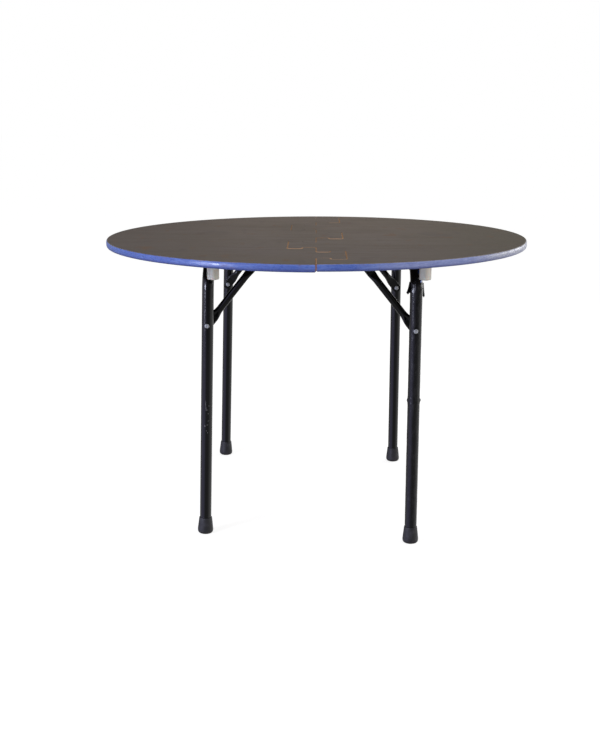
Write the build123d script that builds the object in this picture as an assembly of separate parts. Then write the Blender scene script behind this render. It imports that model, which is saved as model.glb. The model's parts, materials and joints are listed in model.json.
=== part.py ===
from build123d import *
import math
import os

# Round folding table on two U-shaped tube frames that fold inward under the top.
# Lengths are in millimetres, angles in degrees.
# The frame: +X across the seam of the top, +Y away from the viewer, +Z up, floor at zero.

# Top
top_diameter = 1150
top_height = 753
top_thickness = 18
top_upper_round = 4
top_lower_round = 3

# Seam of the top: five jigsaw tabs that lock the two halves
seam_clearance = 0.4
seam_end_length = 87
tab_shift = 8
tab_neck_width = 108
tab_neck_length = 35
tab_head_width = 160
tab_reach = 73
tab_corner_round = 8
# Each tab's place in pitches from the middle one, and the half that it belongs to
tab_place_shares = ((-1.93, "left"), (-1, "right"), (0, "left"), (1, "right"), (2, "left"))
seam_notch_width = 6
seam_notch_height = 6
seam_notch_depth = 14

# Leg frames: each one a bent steel tube, two legs and a crossbar
tube_diameter = 30
tube_wall = 1.8
frame_width = 690
bend_radius = 60
crossbar_gap = 7
left_pivot_place = 271
right_pivot_place = 247.5
# How far the feet of each frame stand outboard of its crossbar
left_foot_splay = 20.8
right_foot_splay = 0
# The frames stand this far out of the middle, opposite ways, so that folded legs lie side by side
frame_side_shift = 30.5

# Rubber foot caps
cap_sole_diameter = 41
cap_top_diameter = 34
cap_height = 44
cap_sole_thickness = 8
cap_sole_round = 6
cap_lip_height = 3
cap_lip_proud = 0.8
cap_fit = 0.05

# Bearings of the crossbars: a plastic pad above and a steel strap below
bearing_bend_gap = 55
bearing_length = 84
bearing_width = 36
bearing_fit = 0.08
bearing_screw_spread = 64
pad_corner_round = 4
strap_thickness = 3

# Braces: round tubes with flattened ends
brace_diameter = 18
brace_drop = 152
brace_reach = 124
brace_side_offset = 25.5
brace_flat_thickness = 5
brace_lower_flat_width = 26
brace_upper_flat_width = 22
brace_lower_flat_length = 20
brace_upper_flat_length = 18
brace_taper_length = 30
brace_wall = 1.5
brace_drain_diameter = 3

# Rivets and saddle spacers between braces and legs
rivet_shank_diameter = 8
rivet_head_diameter = 12.5
rivet_head_height = 4
rivet_dimple_diameter = 4.5
rivet_dimple_depth = 1.2
rivet_fit = 0.05
spacer_diameter = 20

# Catches that hold the upper ends of the braces
pin_diameter = 8
pin_length = 18
pin_depth = 18
pin_fit = 0.05
pin_chamfer = 0.8
catch_slot_clearance = 0.4
catch_slot_slope = 17.5
catch_plate_thickness = 3
catch_plate_width = 19
catch_plate_outer_reach = 30
catch_plate_inner_reach = 45
catch_ear_thickness = 3
catch_ear_gap = 1.5
catch_ear_reach = 14
catch_ear_drop = 11
catch_ear_round = 4
catch_screw_inset = 8
spring_thickness = 0.8
spring_width = 7
spring_nose_gap = 1.5
spring_seat_length = 16
spring_finger_drop = 6
spring_finger_flare = 4

# Splice plates across the seam
splice_length = 220
splice_width = 50
splice_thickness = 3
splice_corner_round = 6
splice_screw_spread_x = 190
splice_screw_spread_y = 28
# The outer plates stand this share of the way from the row of catches to the rim
splice_place_share = 0.31

# Screws into the top
screw_diameter = 4
screw_bite = 12
screw_head_diameter = 8
screw_head_height = 2.4
screw_head_round = 1
screw_slot_width = 1
screw_slot_length = 4.5
screw_slot_depth = 1
screw_fit = 0.1

# Stacking blocks beside the front and rear legs
block_side = 25
block_height = 42.5
block_corner_round = 5
block_edge_round = 3
block_turn = 37
block_counterbore_depth = 14
block_counterbore_diameter = 10
block_far_place_x = 265
block_near_place_x = 250
block_leg_step = 35.5

# Film sleeve left on the front right leg
film_thickness = 0.4
film_fit = 0.05
film_lower_end = 48
film_bend_turn = 20
film_rivet_window = 24

# Cutting solids run this far past what they cut
overrun = 1

# Worked out from the driving dimensions
top_radius = top_diameter / 2
tab_pitch = (top_diameter - 2 * seam_end_length - tab_neck_width) / (len(tab_place_shares) - 1)
underside = top_height - top_thickness
tube_radius = tube_diameter / 2
pivot_height = underside - crossbar_gap - tube_radius
leg_offset = frame_width / 2
outer_leg_place = leg_offset + frame_side_shift
bearing_spread = frame_width - 2 * (bend_radius + bearing_bend_gap)
outer_catch_place = outer_leg_place - brace_side_offset
splice_place = outer_catch_place + splice_place_share * (top_radius - outer_catch_place)
block_place_y = outer_leg_place + block_leg_step
pin_rise = underside - pin_depth - pivot_height
brace_length = math.hypot(brace_reach, brace_drop + pin_rise)
spacer_outer = brace_side_offset - brace_diameter / 2
flat_shift = (brace_diameter - brace_flat_thickness) / 2

sides = {
    "left": {"x": -left_pivot_place, "y": frame_side_shift, "turn": 0, "splay": left_foot_splay},
    "right": {"x": right_pivot_place, "y": -frame_side_shift, "turn": 180, "splay": right_foot_splay},
}


def place(side):
    """Pivot of a leg frame on the top: local +X points inboard."""
    data = sides[side]
    return Pos(data["x"], data["y"], pivot_height) * Rot(0, 0, data["turn"])


def frame_lean(side):
    """Angle of a leg frame from upright, in radians."""
    return math.atan2(sides[side]["splay"], pivot_height)


def leaned(side):
    """The same pivot, turned with the leg frame as it stands."""
    return place(side) * Rot(0, math.degrees(frame_lean(side)), 0)


def end_name(side, leg):
    """Name of the leg at local y sign leg, as seen by a person in front of the table."""
    toward_front = leg < 0 if side == "left" else leg > 0
    return "front" if toward_front else "rear"


def each_leg():
    """Side, local y sign and node ending of each of the four legs."""
    return [(side, leg, end_name(side, leg) + "_" + side) for side in sides for leg in (-1, 1)]


def along_y(radius, start, end, x=0, z=0):
    """Round bar along Y between two places."""
    bar = Plane(origin=(x, start, z), z_dir=(0, 1, 0)).location * Cylinder(
        radius, end - start, align=(Align.CENTER, Align.CENTER, Align.MIN))
    return bar


def standing(radius, height):
    """Round bar that stands on the local origin."""
    return Cylinder(radius, height, align=(Align.CENTER, Align.CENTER, Align.MIN))


def slab(x_range, y_range, z_range):
    """Block between two places on each axis."""
    size = [high - low for low, high in (x_range, y_range, z_range)]
    middle = [(high + low) / 2 for low, high in (x_range, y_range, z_range)]
    return Pos(*middle) * Box(*size)


def far_side(shape, leg):
    """A piece made for the leg at negative local y, moved or mirrored to the leg asked for."""
    return shape if leg < 0 else mirror(shape, Plane.XZ)


def leg_axis_length(side):
    """Distance along the leg from the pivot to the floor."""
    return math.hypot(pivot_height, sides[side]["splay"])


def brace_tilt(side):
    """Brace's angle from upright, measured from the rivet to the pin in its catch."""
    lean = frame_lean(side)
    rise = brace_drop * math.cos(lean) + pin_rise
    return math.degrees(math.atan2(math.sqrt(brace_length ** 2 - rise ** 2), rise))


def catch_reach(side):
    """Distance inboard from the pivot to the pin in its catch."""
    lean = frame_lean(side)
    return brace_length * math.sin(math.radians(brace_tilt(side))) - brace_drop * math.sin(lean)


def brace_plane(leg):
    """Local y of the plane that a brace swings in."""
    return leg * (leg_offset - brace_side_offset)


# Screws

def screw(length):
    """Pan head screw whose head hangs below the local origin and whose shank goes up."""
    head = Pos(0, 0, -screw_head_height) * standing(screw_head_diameter / 2, screw_head_height)
    head = fillet(head.edges().sort_by(Axis.Z)[0], screw_head_round)
    half = screw_slot_length / 2
    thin = screw_slot_width / 2
    depth = (-screw_head_height - overrun, -screw_head_height + screw_slot_depth)
    cross = slab((-half, half), (-thin, thin), depth) + slab((-thin, thin), (-half, half), depth)
    return head + standing(screw_diameter / 2, length) - cross


def screw_hole(x, y, low, high):
    """Clearance hole for a screw, from one height to another."""
    return Pos(x, y, low) * standing(screw_diameter / 2 + screw_fit, high - low)


def bearing_screw_places(side):
    """Local places of the screws of both bearings of a frame."""
    rows = [leg * bearing_spread / 2 for leg in (-1, 1)]
    return [(sign * bearing_screw_spread / 2, y) for y in rows for sign in (-1, 1)]


def catch_screw_places(side, leg):
    """Local places of a catch's outer and inner screws."""
    reach = catch_reach(side)
    outer = reach - catch_plate_outer_reach + catch_screw_inset
    inner = reach + catch_plate_inner_reach - catch_screw_inset
    return [(outer, brace_plane(leg)), (inner, brace_plane(leg))]


def splice_places():
    """Middle of each splice plate, by the plate's name."""
    return {"front": -splice_place, "middle": 0, "rear": splice_place}


def splice_screw_places():
    """World places of the splice screws."""
    xs = (-splice_screw_spread_x / 2, splice_screw_spread_x / 2)
    ys = (-splice_screw_spread_y / 2, splice_screw_spread_y / 2)
    return [(x, middle + y) for middle in splice_places().values() for x in xs for y in ys]


def block_places():
    """World x, y and turn of each stacking block: the pattern repeats at half a turn."""
    return {
        "front_left": (-block_near_place_x, -block_place_y, -block_turn),
        "front_right": (block_far_place_x, -block_place_y, -block_turn),
        "rear_right": (block_near_place_x, block_place_y, -block_turn),
        "rear_left": (-block_far_place_x, block_place_y, -block_turn),
    }


def all_screw_places():
    """World places of every screw that bites into the top."""
    places = splice_screw_places()
    places += [(x, y) for x, y, turn in block_places().values()]
    for side in sides:
        local = bearing_screw_places(side)
        for leg in (-1, 1):
            local += catch_screw_places(side, leg)
        for x, y in local:
            spot = (place(side) * Pos(x, y, 0)).position
            places.append((spot.X, spot.Y))
    return places


# Top

def tab_outline(middle):
    """Plan of one jigsaw tab that reaches towards positive x from the seam."""
    neck = Pos(tab_neck_length / 2, middle) * Rectangle(tab_neck_length + 2 * overrun, tab_neck_width)
    head_length = tab_reach - tab_neck_length
    head = Pos(tab_neck_length + head_length / 2, middle) * Rectangle(head_length, tab_head_width)
    return neck + head


def left_half_outline():
    """Plan of the left half of the top, larger than the disc on its outer side."""
    half = Pos(-top_radius / 2, 0) * Rectangle(top_radius, 2 * top_diameter)
    for share, owner in tab_place_shares:
        tab = tab_outline(share * tab_pitch + tab_shift)
        half = half + tab if owner == "left" else half - mirror(tab, Plane.YZ)
    corners = half.vertices().filter_by(lambda v: abs(v.X) < top_radius / 2)
    return fillet(corners, tab_corner_round)


def disc():
    """The whole round top with its rounded arrises and the small notch at the front of the seam."""
    plate = Pos(0, 0, underside) * standing(top_radius, top_thickness)
    plate = fillet(plate.edges().sort_by(Axis.Z)[-1], top_upper_round)
    plate = fillet(plate.edges().sort_by(Axis.Z)[0], top_lower_round)
    wedge = Polyline((-seam_notch_width / 2, 0), (seam_notch_width / 2, 0), (0, seam_notch_height), close=True)
    front = Plane(origin=(0, seam_notch_depth - top_radius, underside), x_dir=(1, 0, 0), z_dir=(0, -1, 0))
    return plate - extrude(front * make_face(wedge), seam_notch_depth + overrun)


def top_halves():
    """Both halves of the top, with the pilot holes of all screws."""
    plan = left_half_outline()
    left_room = extrude(Pos(0, 0, underside - overrun) * plan, top_thickness + 2 * overrun)
    wide_plan = offset(plan, seam_clearance)
    kept_out = extrude(Pos(0, 0, underside - overrun) * wide_plan, top_thickness + 2 * overrun)
    halves = {"left": disc() & left_room, "right": disc() - kept_out}
    for x, y in all_screw_places():
        pilot = screw_hole(x, y, underside - overrun, underside + screw_bite + overrun)
        owner = "left" if x < 0 else "right"
        halves[owner] = halves[owner] - pilot
    return halves


def splice_plate(middle):
    """Flat steel plate across the seam."""
    plate = Pos(0, middle, underside - splice_thickness) * Box(
        splice_length, splice_width, splice_thickness, align=(Align.CENTER, Align.CENTER, Align.MIN))
    plate = fillet(plate.edges().filter_by(Axis.Z), splice_corner_round)
    for x, y in splice_screw_places():
        if abs(y - middle) < splice_width / 2:
            plate -= screw_hole(x, y, underside - splice_thickness - overrun, underside + overrun)
    return plate


def splice_screws():
    """Screws of the three splice plates."""
    seat = underside - splice_thickness
    one = screw(splice_thickness + screw_bite)
    return [Pos(x, y, seat) * one for x, y in splice_screw_places()]


# Leg frames

def frame_path(length):
    """Middle line of a leg frame: up one leg, along the crossbar and down the other."""
    corners = [(0, -leg_offset, -length), (0, -leg_offset, 0), (0, leg_offset, 0), (0, leg_offset, -length)]
    return FilletPolyline(*corners, radius=bend_radius)


def tube_along(path, outer, inner):
    """Round tube that follows a path."""
    start = Plane(origin=path @ 0, z_dir=path % 0)
    return sweep(start * (Circle(outer) - Circle(inner)), path=path)


def leg_frame(side):
    """Bent tube with the rivet holes through both legs."""
    length = leg_axis_length(side) - cap_sole_thickness
    frame = tube_along(frame_path(length), tube_radius, tube_radius - tube_wall)
    for leg in (-1, 1):
        low = leg * leg_offset - tube_radius - overrun
        high = leg * leg_offset + tube_radius + overrun
        frame -= along_y(rivet_shank_diameter / 2 + rivet_fit, low, high, z=-brace_drop)
    return leaned(side) * frame


def foot_cap(side, leg):
    """Rubber cap over the end of a leg, cut flat where it stands on the floor."""
    sole_drop = cap_sole_diameter / 2 * math.tan(frame_lean(side))
    body = Cone(cap_sole_diameter / 2, cap_top_diameter / 2, cap_height,
                align=(Align.CENTER, Align.CENTER, Align.MIN))
    lip = Pos(0, 0, cap_height - cap_lip_height) * standing(
        cap_top_diameter / 2 + cap_lip_proud, cap_lip_height)
    if sole_drop > 0:
        body += Pos(0, 0, -sole_drop) * standing(cap_sole_diameter / 2, sole_drop)
    body = fillet(body.edges().sort_by(Axis.Z)[0], cap_sole_round)
    lip = fillet(lip.edges().filter_by(GeomType.CIRCLE), cap_lip_proud)
    bore = Pos(0, 0, cap_sole_thickness) * standing(tube_radius + cap_fit, cap_height)
    cap = body + lip - bore
    placed = leaned(side) * Pos(0, leg * leg_offset, -leg_axis_length(side)) * cap
    spread = 2 * top_diameter
    return placed - slab((-spread, spread), (-spread, spread), (-cap_sole_diameter, 0))


def film_sleeve():
    """Thin film round the front right leg, up into the bend, open around the rivet."""
    side = "right"
    inner = tube_radius + film_fit
    length = leg_axis_length(side)
    foot = (0, -leg_offset, film_lower_end - length)
    knee = (0, -leg_offset, -bend_radius)
    centre = (0, bend_radius - leg_offset, -bend_radius)
    arc_plane = Plane(origin=centre, x_dir=(0, -1, 0), z_dir=(-1, 0, 0))
    arc = arc_plane.location * CenterArc((0, 0), bend_radius, 0, film_bend_turn)
    line = Line(foot, knee)
    sleeve = tube_along(line, inner + film_thickness, inner)
    ring = Circle(inner + film_thickness) - Circle(inner)
    upper = sweep(Plane(origin=knee, z_dir=(0, 0, 1)) * ring, path=arc)
    window = along_y(film_rivet_window / 2, -leg_offset - tube_diameter, -leg_offset + tube_diameter,
                     z=-brace_drop)
    return leaned(side) * mirror(sleeve + upper - window, Plane.XZ)


# Bearings

def bearing_pad(leg):
    """Plastic pad between the underside and the crossbar."""
    half = bearing_length / 2
    middle = leg * bearing_spread / 2
    y_range = (middle - bearing_width / 2, middle + bearing_width / 2)
    pad = slab((-half, half), y_range, (0, underside - pivot_height))
    pad = fillet(pad.edges().filter_by(Axis.Z), pad_corner_round)
    pad -= along_y(tube_radius + bearing_fit, y_range[0] - overrun, y_range[1] + overrun)
    for x, y in bearing_screw_places("left"):
        pad -= screw_hole(x, y, -overrun, underside - pivot_height + overrun)
    return pad


def bearing_strap(leg):
    """Steel strap that wraps below the crossbar, with a flange on each side."""
    half = bearing_length / 2
    middle = leg * bearing_spread / 2
    y_range = (middle - bearing_width / 2, middle + bearing_width / 2)
    bore = tube_radius + bearing_fit
    flange = slab((-half, half), y_range, (-strap_thickness, 0))
    flange = fillet(flange.edges().filter_by(Axis.Z), pad_corner_round)
    wrap = along_y(bore + strap_thickness, y_range[0], y_range[1])
    wrap -= slab((-half, half), (y_range[0] - overrun, y_range[1] + overrun), (0, 2 * bore))
    strap = flange + wrap - along_y(bore, y_range[0] - overrun, y_range[1] + overrun)
    for x, y in bearing_screw_places("left"):
        strap -= screw_hole(x, y, -strap_thickness - overrun, overrun)
    return strap


def bearing_screws(side):
    """Screws through strap and pad into the top."""
    one = screw(strap_thickness + underside - pivot_height + screw_bite)
    return [place(side) * Pos(x, y, -strap_thickness) * one for x, y in bearing_screw_places(side)]


# Braces, made for the leg at negative y, with the rivet at the origin and the pin straight above

def flat_end(width, length, direction, shift):
    """Flattened end: a plate with a round nose, along +Z or -Z from the tube side."""
    half = brace_flat_thickness / 2
    nose = along_y(width / 2, shift - half, shift + half)
    z_range = (0, length) if direction > 0 else (-length, 0)
    return nose + slab((-width / 2, width / 2), (shift - half, shift + half), z_range)


def taper(width, low, high, low_is_flat, shift):
    """Stretch where the tube changes from round to flat."""
    flat = Pos(0, shift) * Ellipse(width / 2, brace_flat_thickness / 2)
    round_end = Circle(brace_diameter / 2)
    lower = Pos(0, 0, low) * (flat if low_is_flat else round_end)
    upper = Pos(0, 0, high) * (round_end if low_is_flat else flat)
    return loft([lower, upper])


def brace_solid():
    """Brace along +Z from the rivet to the pin, its lower flat shifted towards the leg."""
    round_low = brace_lower_flat_length + brace_taper_length
    round_high = brace_length - brace_upper_flat_length - brace_taper_length
    brace = Pos(0, 0, round_low) * standing(brace_diameter / 2, round_high - round_low)
    brace += taper(brace_lower_flat_width, brace_lower_flat_length, round_low, True, -flat_shift)
    brace += taper(brace_upper_flat_width, round_high, brace_length - brace_upper_flat_length, False, 0)
    brace += flat_end(brace_lower_flat_width, brace_lower_flat_length, 1, -flat_shift)
    upper = flat_end(brace_upper_flat_width, brace_upper_flat_length, -1, 0)
    brace += Pos(0, 0, brace_length) * upper
    bore = Pos(0, 0, round_low) * standing(brace_diameter / 2 - brace_wall, round_high - round_low)
    drain = Plane(origin=(0, 0, round_low + brace_diameter), z_dir=(1, 0, 0)).location * standing(
        brace_drain_diameter / 2, brace_diameter)
    brace = brace - bore - drain
    brace -= along_y(rivet_shank_diameter / 2 + rivet_fit, -brace_diameter, brace_diameter)
    return brace - along_y(pin_diameter / 2 + pin_fit, -brace_diameter, brace_diameter, z=brace_length)


def on_brace(side, leg, shape):
    """A brace piece, tilted as it stands and set on its rivet."""
    lean = frame_lean(side)
    rivet = Pos(-brace_drop * math.sin(lean), brace_plane(leg), -brace_drop * math.cos(lean))
    return place(side) * rivet * Rot(0, brace_tilt(side), 0) * far_side(shape, leg)


def brace_pin():
    """Pin through the upper end of a brace."""
    pin = along_y(pin_diameter / 2, -pin_length / 2, pin_length / 2, z=brace_length)
    return chamfer(pin.edges().filter_by(GeomType.CIRCLE), pin_chamfer)


def on_leg(side, leg, shape):
    """A piece made round the rivet axis of the leg at negative y, set on the leg asked for."""
    return leaned(side) * Pos(0, 0, -brace_drop) * far_side(shape, leg)


def brace_rivet():
    """Rivet through leg, spacer and brace, with a dimpled dome head outside."""
    outside = -leg_offset - tube_radius
    inside = -leg_offset + spacer_outer + brace_flat_thickness + rivet_fit
    shank = along_y(rivet_shank_diameter / 2, outside, inside)
    seat = tube_radius - math.sqrt(tube_radius ** 2 - (rivet_head_diameter / 2) ** 2)
    outer = along_y(rivet_head_diameter / 2, outside - rivet_head_height + seat, outside + seat)
    outer = fillet(outer.edges().filter_by(GeomType.CIRCLE).sort_by(Axis.Y)[0], rivet_head_height / 2)
    outer -= Pos(0, -leg_offset, 0) * Cylinder(tube_radius, tube_diameter)
    inner = along_y(rivet_head_diameter / 2, inside, inside + rivet_head_height)
    inner = fillet(inner.edges().filter_by(GeomType.CIRCLE).sort_by(Axis.Y)[-1], rivet_head_height / 2)
    dimple_floor = outside - rivet_head_height + seat + rivet_dimple_depth
    dimple = along_y(rivet_dimple_diameter / 2, dimple_floor - rivet_head_height, dimple_floor)
    return outer + shank + inner - dimple


def brace_spacer():
    """Saddle washer between the round leg and the flat end of the brace."""
    face = -leg_offset + spacer_outer - rivet_fit
    ring = along_y(spacer_diameter / 2, -leg_offset, face)
    ring -= Pos(0, -leg_offset, 0) * Cylinder(tube_radius, tube_diameter)
    return ring - along_y(rivet_shank_diameter / 2 + rivet_fit, -leg_offset, face + overrun)


# Catches, made round the pin axis with local +X inboard

def catch_slot():
    """Room that the pin needs from its seat to the open end of the slot."""
    radius = pin_diameter / 2 + catch_slot_clearance
    length = 2 * catch_ear_reach
    seat = along_y(radius, -catch_plate_width, catch_plate_width)
    way = slab((0, length), (-catch_plate_width, catch_plate_width), (-radius, radius))
    return seat + Rot(0, catch_slot_slope, 0) * way


def catch_bracket():
    """Steel bracket: a plate under the top and two ears with slots that open inboard."""
    top = pin_depth
    half = catch_plate_width / 2
    under = top - catch_plate_thickness
    plate = slab((-catch_plate_outer_reach, catch_plate_inner_reach), (-half, half), (under, top))
    plate = fillet(plate.edges().filter_by(Axis.Z), catch_ear_thickness)
    inner = brace_flat_thickness / 2 + catch_ear_gap
    bracket = plate
    for leg in (-1, 1):
        faces = sorted((leg * inner, leg * (inner + catch_ear_thickness)))
        ear = slab((-catch_ear_reach, catch_ear_reach), faces, (-catch_ear_drop, under))
        lower = ear.edges().filter_by(Axis.Y).group_by(Axis.Z)[0]
        bracket += fillet(lower, catch_ear_round) - catch_slot()
    for x in (catch_screw_inset - catch_plate_outer_reach, catch_plate_inner_reach - catch_screw_inset):
        bracket -= screw_hole(x, 0, under - overrun, top + overrun)
    return bracket


def catch_spring():
    """Leaf spring under the plate: a seat with a screw hole, an arm and a finger before the brace end."""
    seat_top = pin_depth - catch_plate_thickness
    seat_start = catch_plate_inner_reach - spring_seat_length
    nose = brace_upper_flat_width / 2 + spring_nose_gap
    points = [
        (catch_plate_inner_reach, seat_top),
        (seat_start, seat_top),
        (nose, 0),
        (nose + spring_finger_flare, -spring_finger_drop),
        (nose + spring_finger_flare + spring_thickness, -spring_finger_drop),
        (nose + spring_thickness * 2, 0),
        (seat_start + spring_thickness, seat_top - spring_thickness),
        (catch_plate_inner_reach, seat_top - spring_thickness),
    ]
    side_plane = Plane(origin=(0, spring_width / 2, 0), x_dir=(1, 0, 0), z_dir=(0, -1, 0))
    strip = extrude(side_plane * make_face(Polyline(*points, close=True)), spring_width)
    return strip - screw_hole(catch_plate_inner_reach - catch_screw_inset, 0, 0, pin_depth)


def at_catch(side, leg, shape):
    """A catch piece, set under the top round the pin axis."""
    return place(side) * Pos(catch_reach(side), brace_plane(leg), pin_rise) * shape


def catch_screws(side):
    """Two screws for each catch of a side: the inner one also holds the spring."""
    found = []
    seat = pin_rise + pin_depth - catch_plate_thickness
    for leg in (-1, 1):
        outer, inner = catch_screw_places(side, leg)
        long_one = screw(spring_thickness + catch_plate_thickness + screw_bite)
        short_one = screw(catch_plate_thickness + screw_bite)
        found.append(place(side) * Pos(outer[0], outer[1], seat) * short_one)
        found.append(place(side) * Pos(inner[0], inner[1], seat - spring_thickness) * long_one)
    return found


# Stacking blocks

def stacking_block():
    """Plastic block with rounded edges and a deep hole for its screw, hung from the local origin."""
    block = Pos(0, 0, -block_height) * Box(
        block_side, block_side, block_height, align=(Align.CENTER, Align.CENTER, Align.MIN))
    block = fillet(block.edges().filter_by(Axis.Z), block_corner_round)
    block = fillet(block.edges().group_by(Axis.Z)[0], block_edge_round)
    block -= Pos(0, 0, -block_height - overrun) * standing(
        block_counterbore_diameter / 2, block_counterbore_depth + overrun)
    return block - screw_hole(0, 0, -block_height, overrun)


def block_screws():
    """Screws of the stacking blocks, their heads in the deep holes."""
    grip = block_height - block_counterbore_depth
    one = screw(grip + screw_bite)
    return [Pos(x, y, underside - grip) * one for x, y, turn in block_places().values()]


# Nodes

def build_nodes():
    """Every node by name."""
    nodes = {"top_half_" + side: half for side, half in top_halves().items()}
    for name, middle in splice_places().items():
        nodes["splice_plate_" + name] = splice_plate(middle)
    nodes["splice_screws"] = splice_screws()
    for side in sides:
        nodes["leg_frame_" + side] = leg_frame(side)
        nodes["bearing_screws_" + side] = bearing_screws(side)
        nodes["catch_screws_" + side] = catch_screws(side)
    brace = brace_solid()
    for side, leg, ending in each_leg():
        nodes["foot_cap_" + ending] = foot_cap(side, leg)
        nodes["bearing_pad_" + ending] = place(side) * bearing_pad(leg)
        nodes["bearing_strap_" + ending] = place(side) * bearing_strap(leg)
        nodes["brace_" + ending] = on_brace(side, leg, brace)
        nodes["brace_pin_" + ending] = on_brace(side, leg, brace_pin())
        nodes["brace_rivet_" + ending] = on_leg(side, leg, brace_rivet())
        nodes["brace_spacer_" + ending] = on_leg(side, leg, brace_spacer())
        nodes["catch_bracket_" + ending] = at_catch(side, leg, catch_bracket())
        nodes["catch_spring_" + ending] = at_catch(side, leg, catch_spring())
    for ending, (x, y, turn) in block_places().items():
        nodes["stacking_block_" + ending] = Pos(x, y, underside) * Rot(0, 0, turn) * stacking_block()
    nodes["block_screws"] = block_screws()
    nodes["film_sleeve_front_right"] = film_sleeve()
    return nodes


def write_nodes():
    """One STEP file for each node, a group of solids as one compound."""
    os.makedirs("parts", exist_ok=True)
    for name, shape in build_nodes().items():
        solids = shape if isinstance(shape, list) else shape.solids()
        whole = solids[0] if len(solids) == 1 else Compound(children=list(solids))
        export_step(whole, "parts/" + name + ".step")
    for side in sides:
        spot = (place(side)).position
        print(side, "pivot", round(spot.X, 1), round(spot.Y, 1), round(spot.Z, 1),
              "brace tilt", round(brace_tilt(side), 2), "catch reach", round(catch_reach(side), 1))


write_nodes()
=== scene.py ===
"""Looks of a round folding table: stained plywood top, blue painted edge and two folding leg frames."""

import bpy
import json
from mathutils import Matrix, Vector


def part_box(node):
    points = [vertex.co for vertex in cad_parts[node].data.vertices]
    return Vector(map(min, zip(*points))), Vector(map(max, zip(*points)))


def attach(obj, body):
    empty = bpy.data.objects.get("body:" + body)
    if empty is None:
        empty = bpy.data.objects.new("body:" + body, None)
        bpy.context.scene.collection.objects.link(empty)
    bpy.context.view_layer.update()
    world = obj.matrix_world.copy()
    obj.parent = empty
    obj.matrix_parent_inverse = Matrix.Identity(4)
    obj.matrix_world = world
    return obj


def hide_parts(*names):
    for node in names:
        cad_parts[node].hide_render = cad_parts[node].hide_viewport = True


bl_info = {
    "name": "Round Folding Table",
    "version": (1, 0, 0),
    "blender": (4, 5, 0),
    "location": "3D View > Sidebar > Table",
    "description": "Builds the finished pieces of a round folding table around its packed parts",
    "category": "Object",
}

import functools
import json
import math
import random

import bmesh
import bpy
import numpy as np
from bpy.props import FloatProperty, FloatVectorProperty, IntProperty, PointerProperty
from mathutils import Matrix, Vector
from mathutils.geometry import delaunay_2d_cdt

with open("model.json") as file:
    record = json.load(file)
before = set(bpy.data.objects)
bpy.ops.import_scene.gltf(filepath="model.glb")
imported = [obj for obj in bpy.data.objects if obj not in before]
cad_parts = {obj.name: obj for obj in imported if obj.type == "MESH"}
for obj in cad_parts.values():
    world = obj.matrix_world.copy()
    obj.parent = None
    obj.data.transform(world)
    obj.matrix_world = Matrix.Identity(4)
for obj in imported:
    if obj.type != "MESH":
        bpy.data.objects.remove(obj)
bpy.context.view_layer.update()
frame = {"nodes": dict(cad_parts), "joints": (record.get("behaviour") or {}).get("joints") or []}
MM = 0.001


def linear(hex_colour):
    """sRGB hex, such as "#536ea8", as linear red, green, blue and alpha."""
    channels = [int(hex_colour[i:i + 2], 16) / 255 for i in (1, 3, 5)]
    return tuple(c / 12.92 if c <= 0.04045 else ((c + 0.055) / 1.055) ** 2.4 for c in channels) + (1.0,)


def grain(size_mm):
    """Scale of a pattern on Object coordinates whose features are this many millimetres wide."""
    return 1 / (size_mm * MM)


# Sizes and colours that a user would change


def length(name, description, default):
    """A length in metres for a property group."""
    return FloatProperty(name=name, description=description, default=default, unit="LENGTH", precision=4)


def colour(name, description, hex_colour):
    """A colour for a property group."""
    return FloatVectorProperty(
        name=name, description=description, default=linear(hex_colour),
        subtype="COLOR", size=4, min=0, max=1)


TOP_LOW, TOP_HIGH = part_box("top_half_left")[0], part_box("top_half_right")[1]


class TopSettings(bpy.types.PropertyGroup):
    """Sizes and colours of the plywood top."""
    radius: length("Radius", "Radius of the round top", TOP_HIGH.x)
    height: length("Height", "Height of the upper face above the floor", TOP_HIGH.z)
    thickness: length("Thickness", "Thickness of the plywood", TOP_HIGH.z - TOP_LOW.z)
    crown: length("Edge crown", "How far the rounded edge stands out past the flat faces", 4.5 * MM)
    seam_gap: length("Seam gap", "Width of the saw cut between the halves", 0.1 * MM)
    seam_bevel: length("Seam bevel", "Worn bevel beside the saw cut", 1.4 * MM)
    droop: length("Droop", "How far the left half hangs down at the front of the saw cut", 1.8 * MM)
    tab_pitch: length("Tab pitch", "Distance between neighbouring jigsaw tabs", 217 * MM)
    tab_shift: length("Tab shift", "Place of the middle tab along the seam", 8 * MM)
    neck_width: length("Neck width", "Width of a tab's neck", 108 * MM)
    neck_length: length("Neck length", "Length of a tab's neck", 35 * MM)
    head_width: length("Head width", "Width of a tab's head", 160 * MM)
    reach: length("Reach", "How far a tab reaches over the seam", 73 * MM)
    corner: length("Corner", "Corner radius of the tabs", 8 * MM)
    segments: IntProperty(name="Segments", description="Steps round half of the rim", default=300, min=24)
    stain: colour("Stain", "Dark brown-grey stain of the upper face", "#635c58")
    edge_paint: colour("Edge paint", "Blue paint of the edge", "#5069b5")
    bare_wood: colour("Bare wood", "Wood that shows where stain and paint are worn through", "#b58f6c")
    # The underside colour is partly a dark stain and partly painted shade of the unlit underside
    underside: colour("Underside", "Dark stained plywood under the top", "#4c3d32")


class LegSettings(bpy.types.PropertyGroup):
    """Sizes and colours of the leg frames."""
    tube_diameter: length("Tube diameter", "Outer diameter of the leg tube", 30 * MM)
    bend_radius: length("Bend radius", "Radius of the bends at the upper corners", 60 * MM)
    enamel: colour("Enamel", "Black enamel of the tubes", "#070709")


class FootSettings(bpy.types.PropertyGroup):
    """Sizes and colours of the foot caps."""
    sole: length("Sole", "Thickness of rubber under the tube", 8 * MM)
    rubber: colour("Rubber", "Dark grey rubber", "#26262a")


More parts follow.
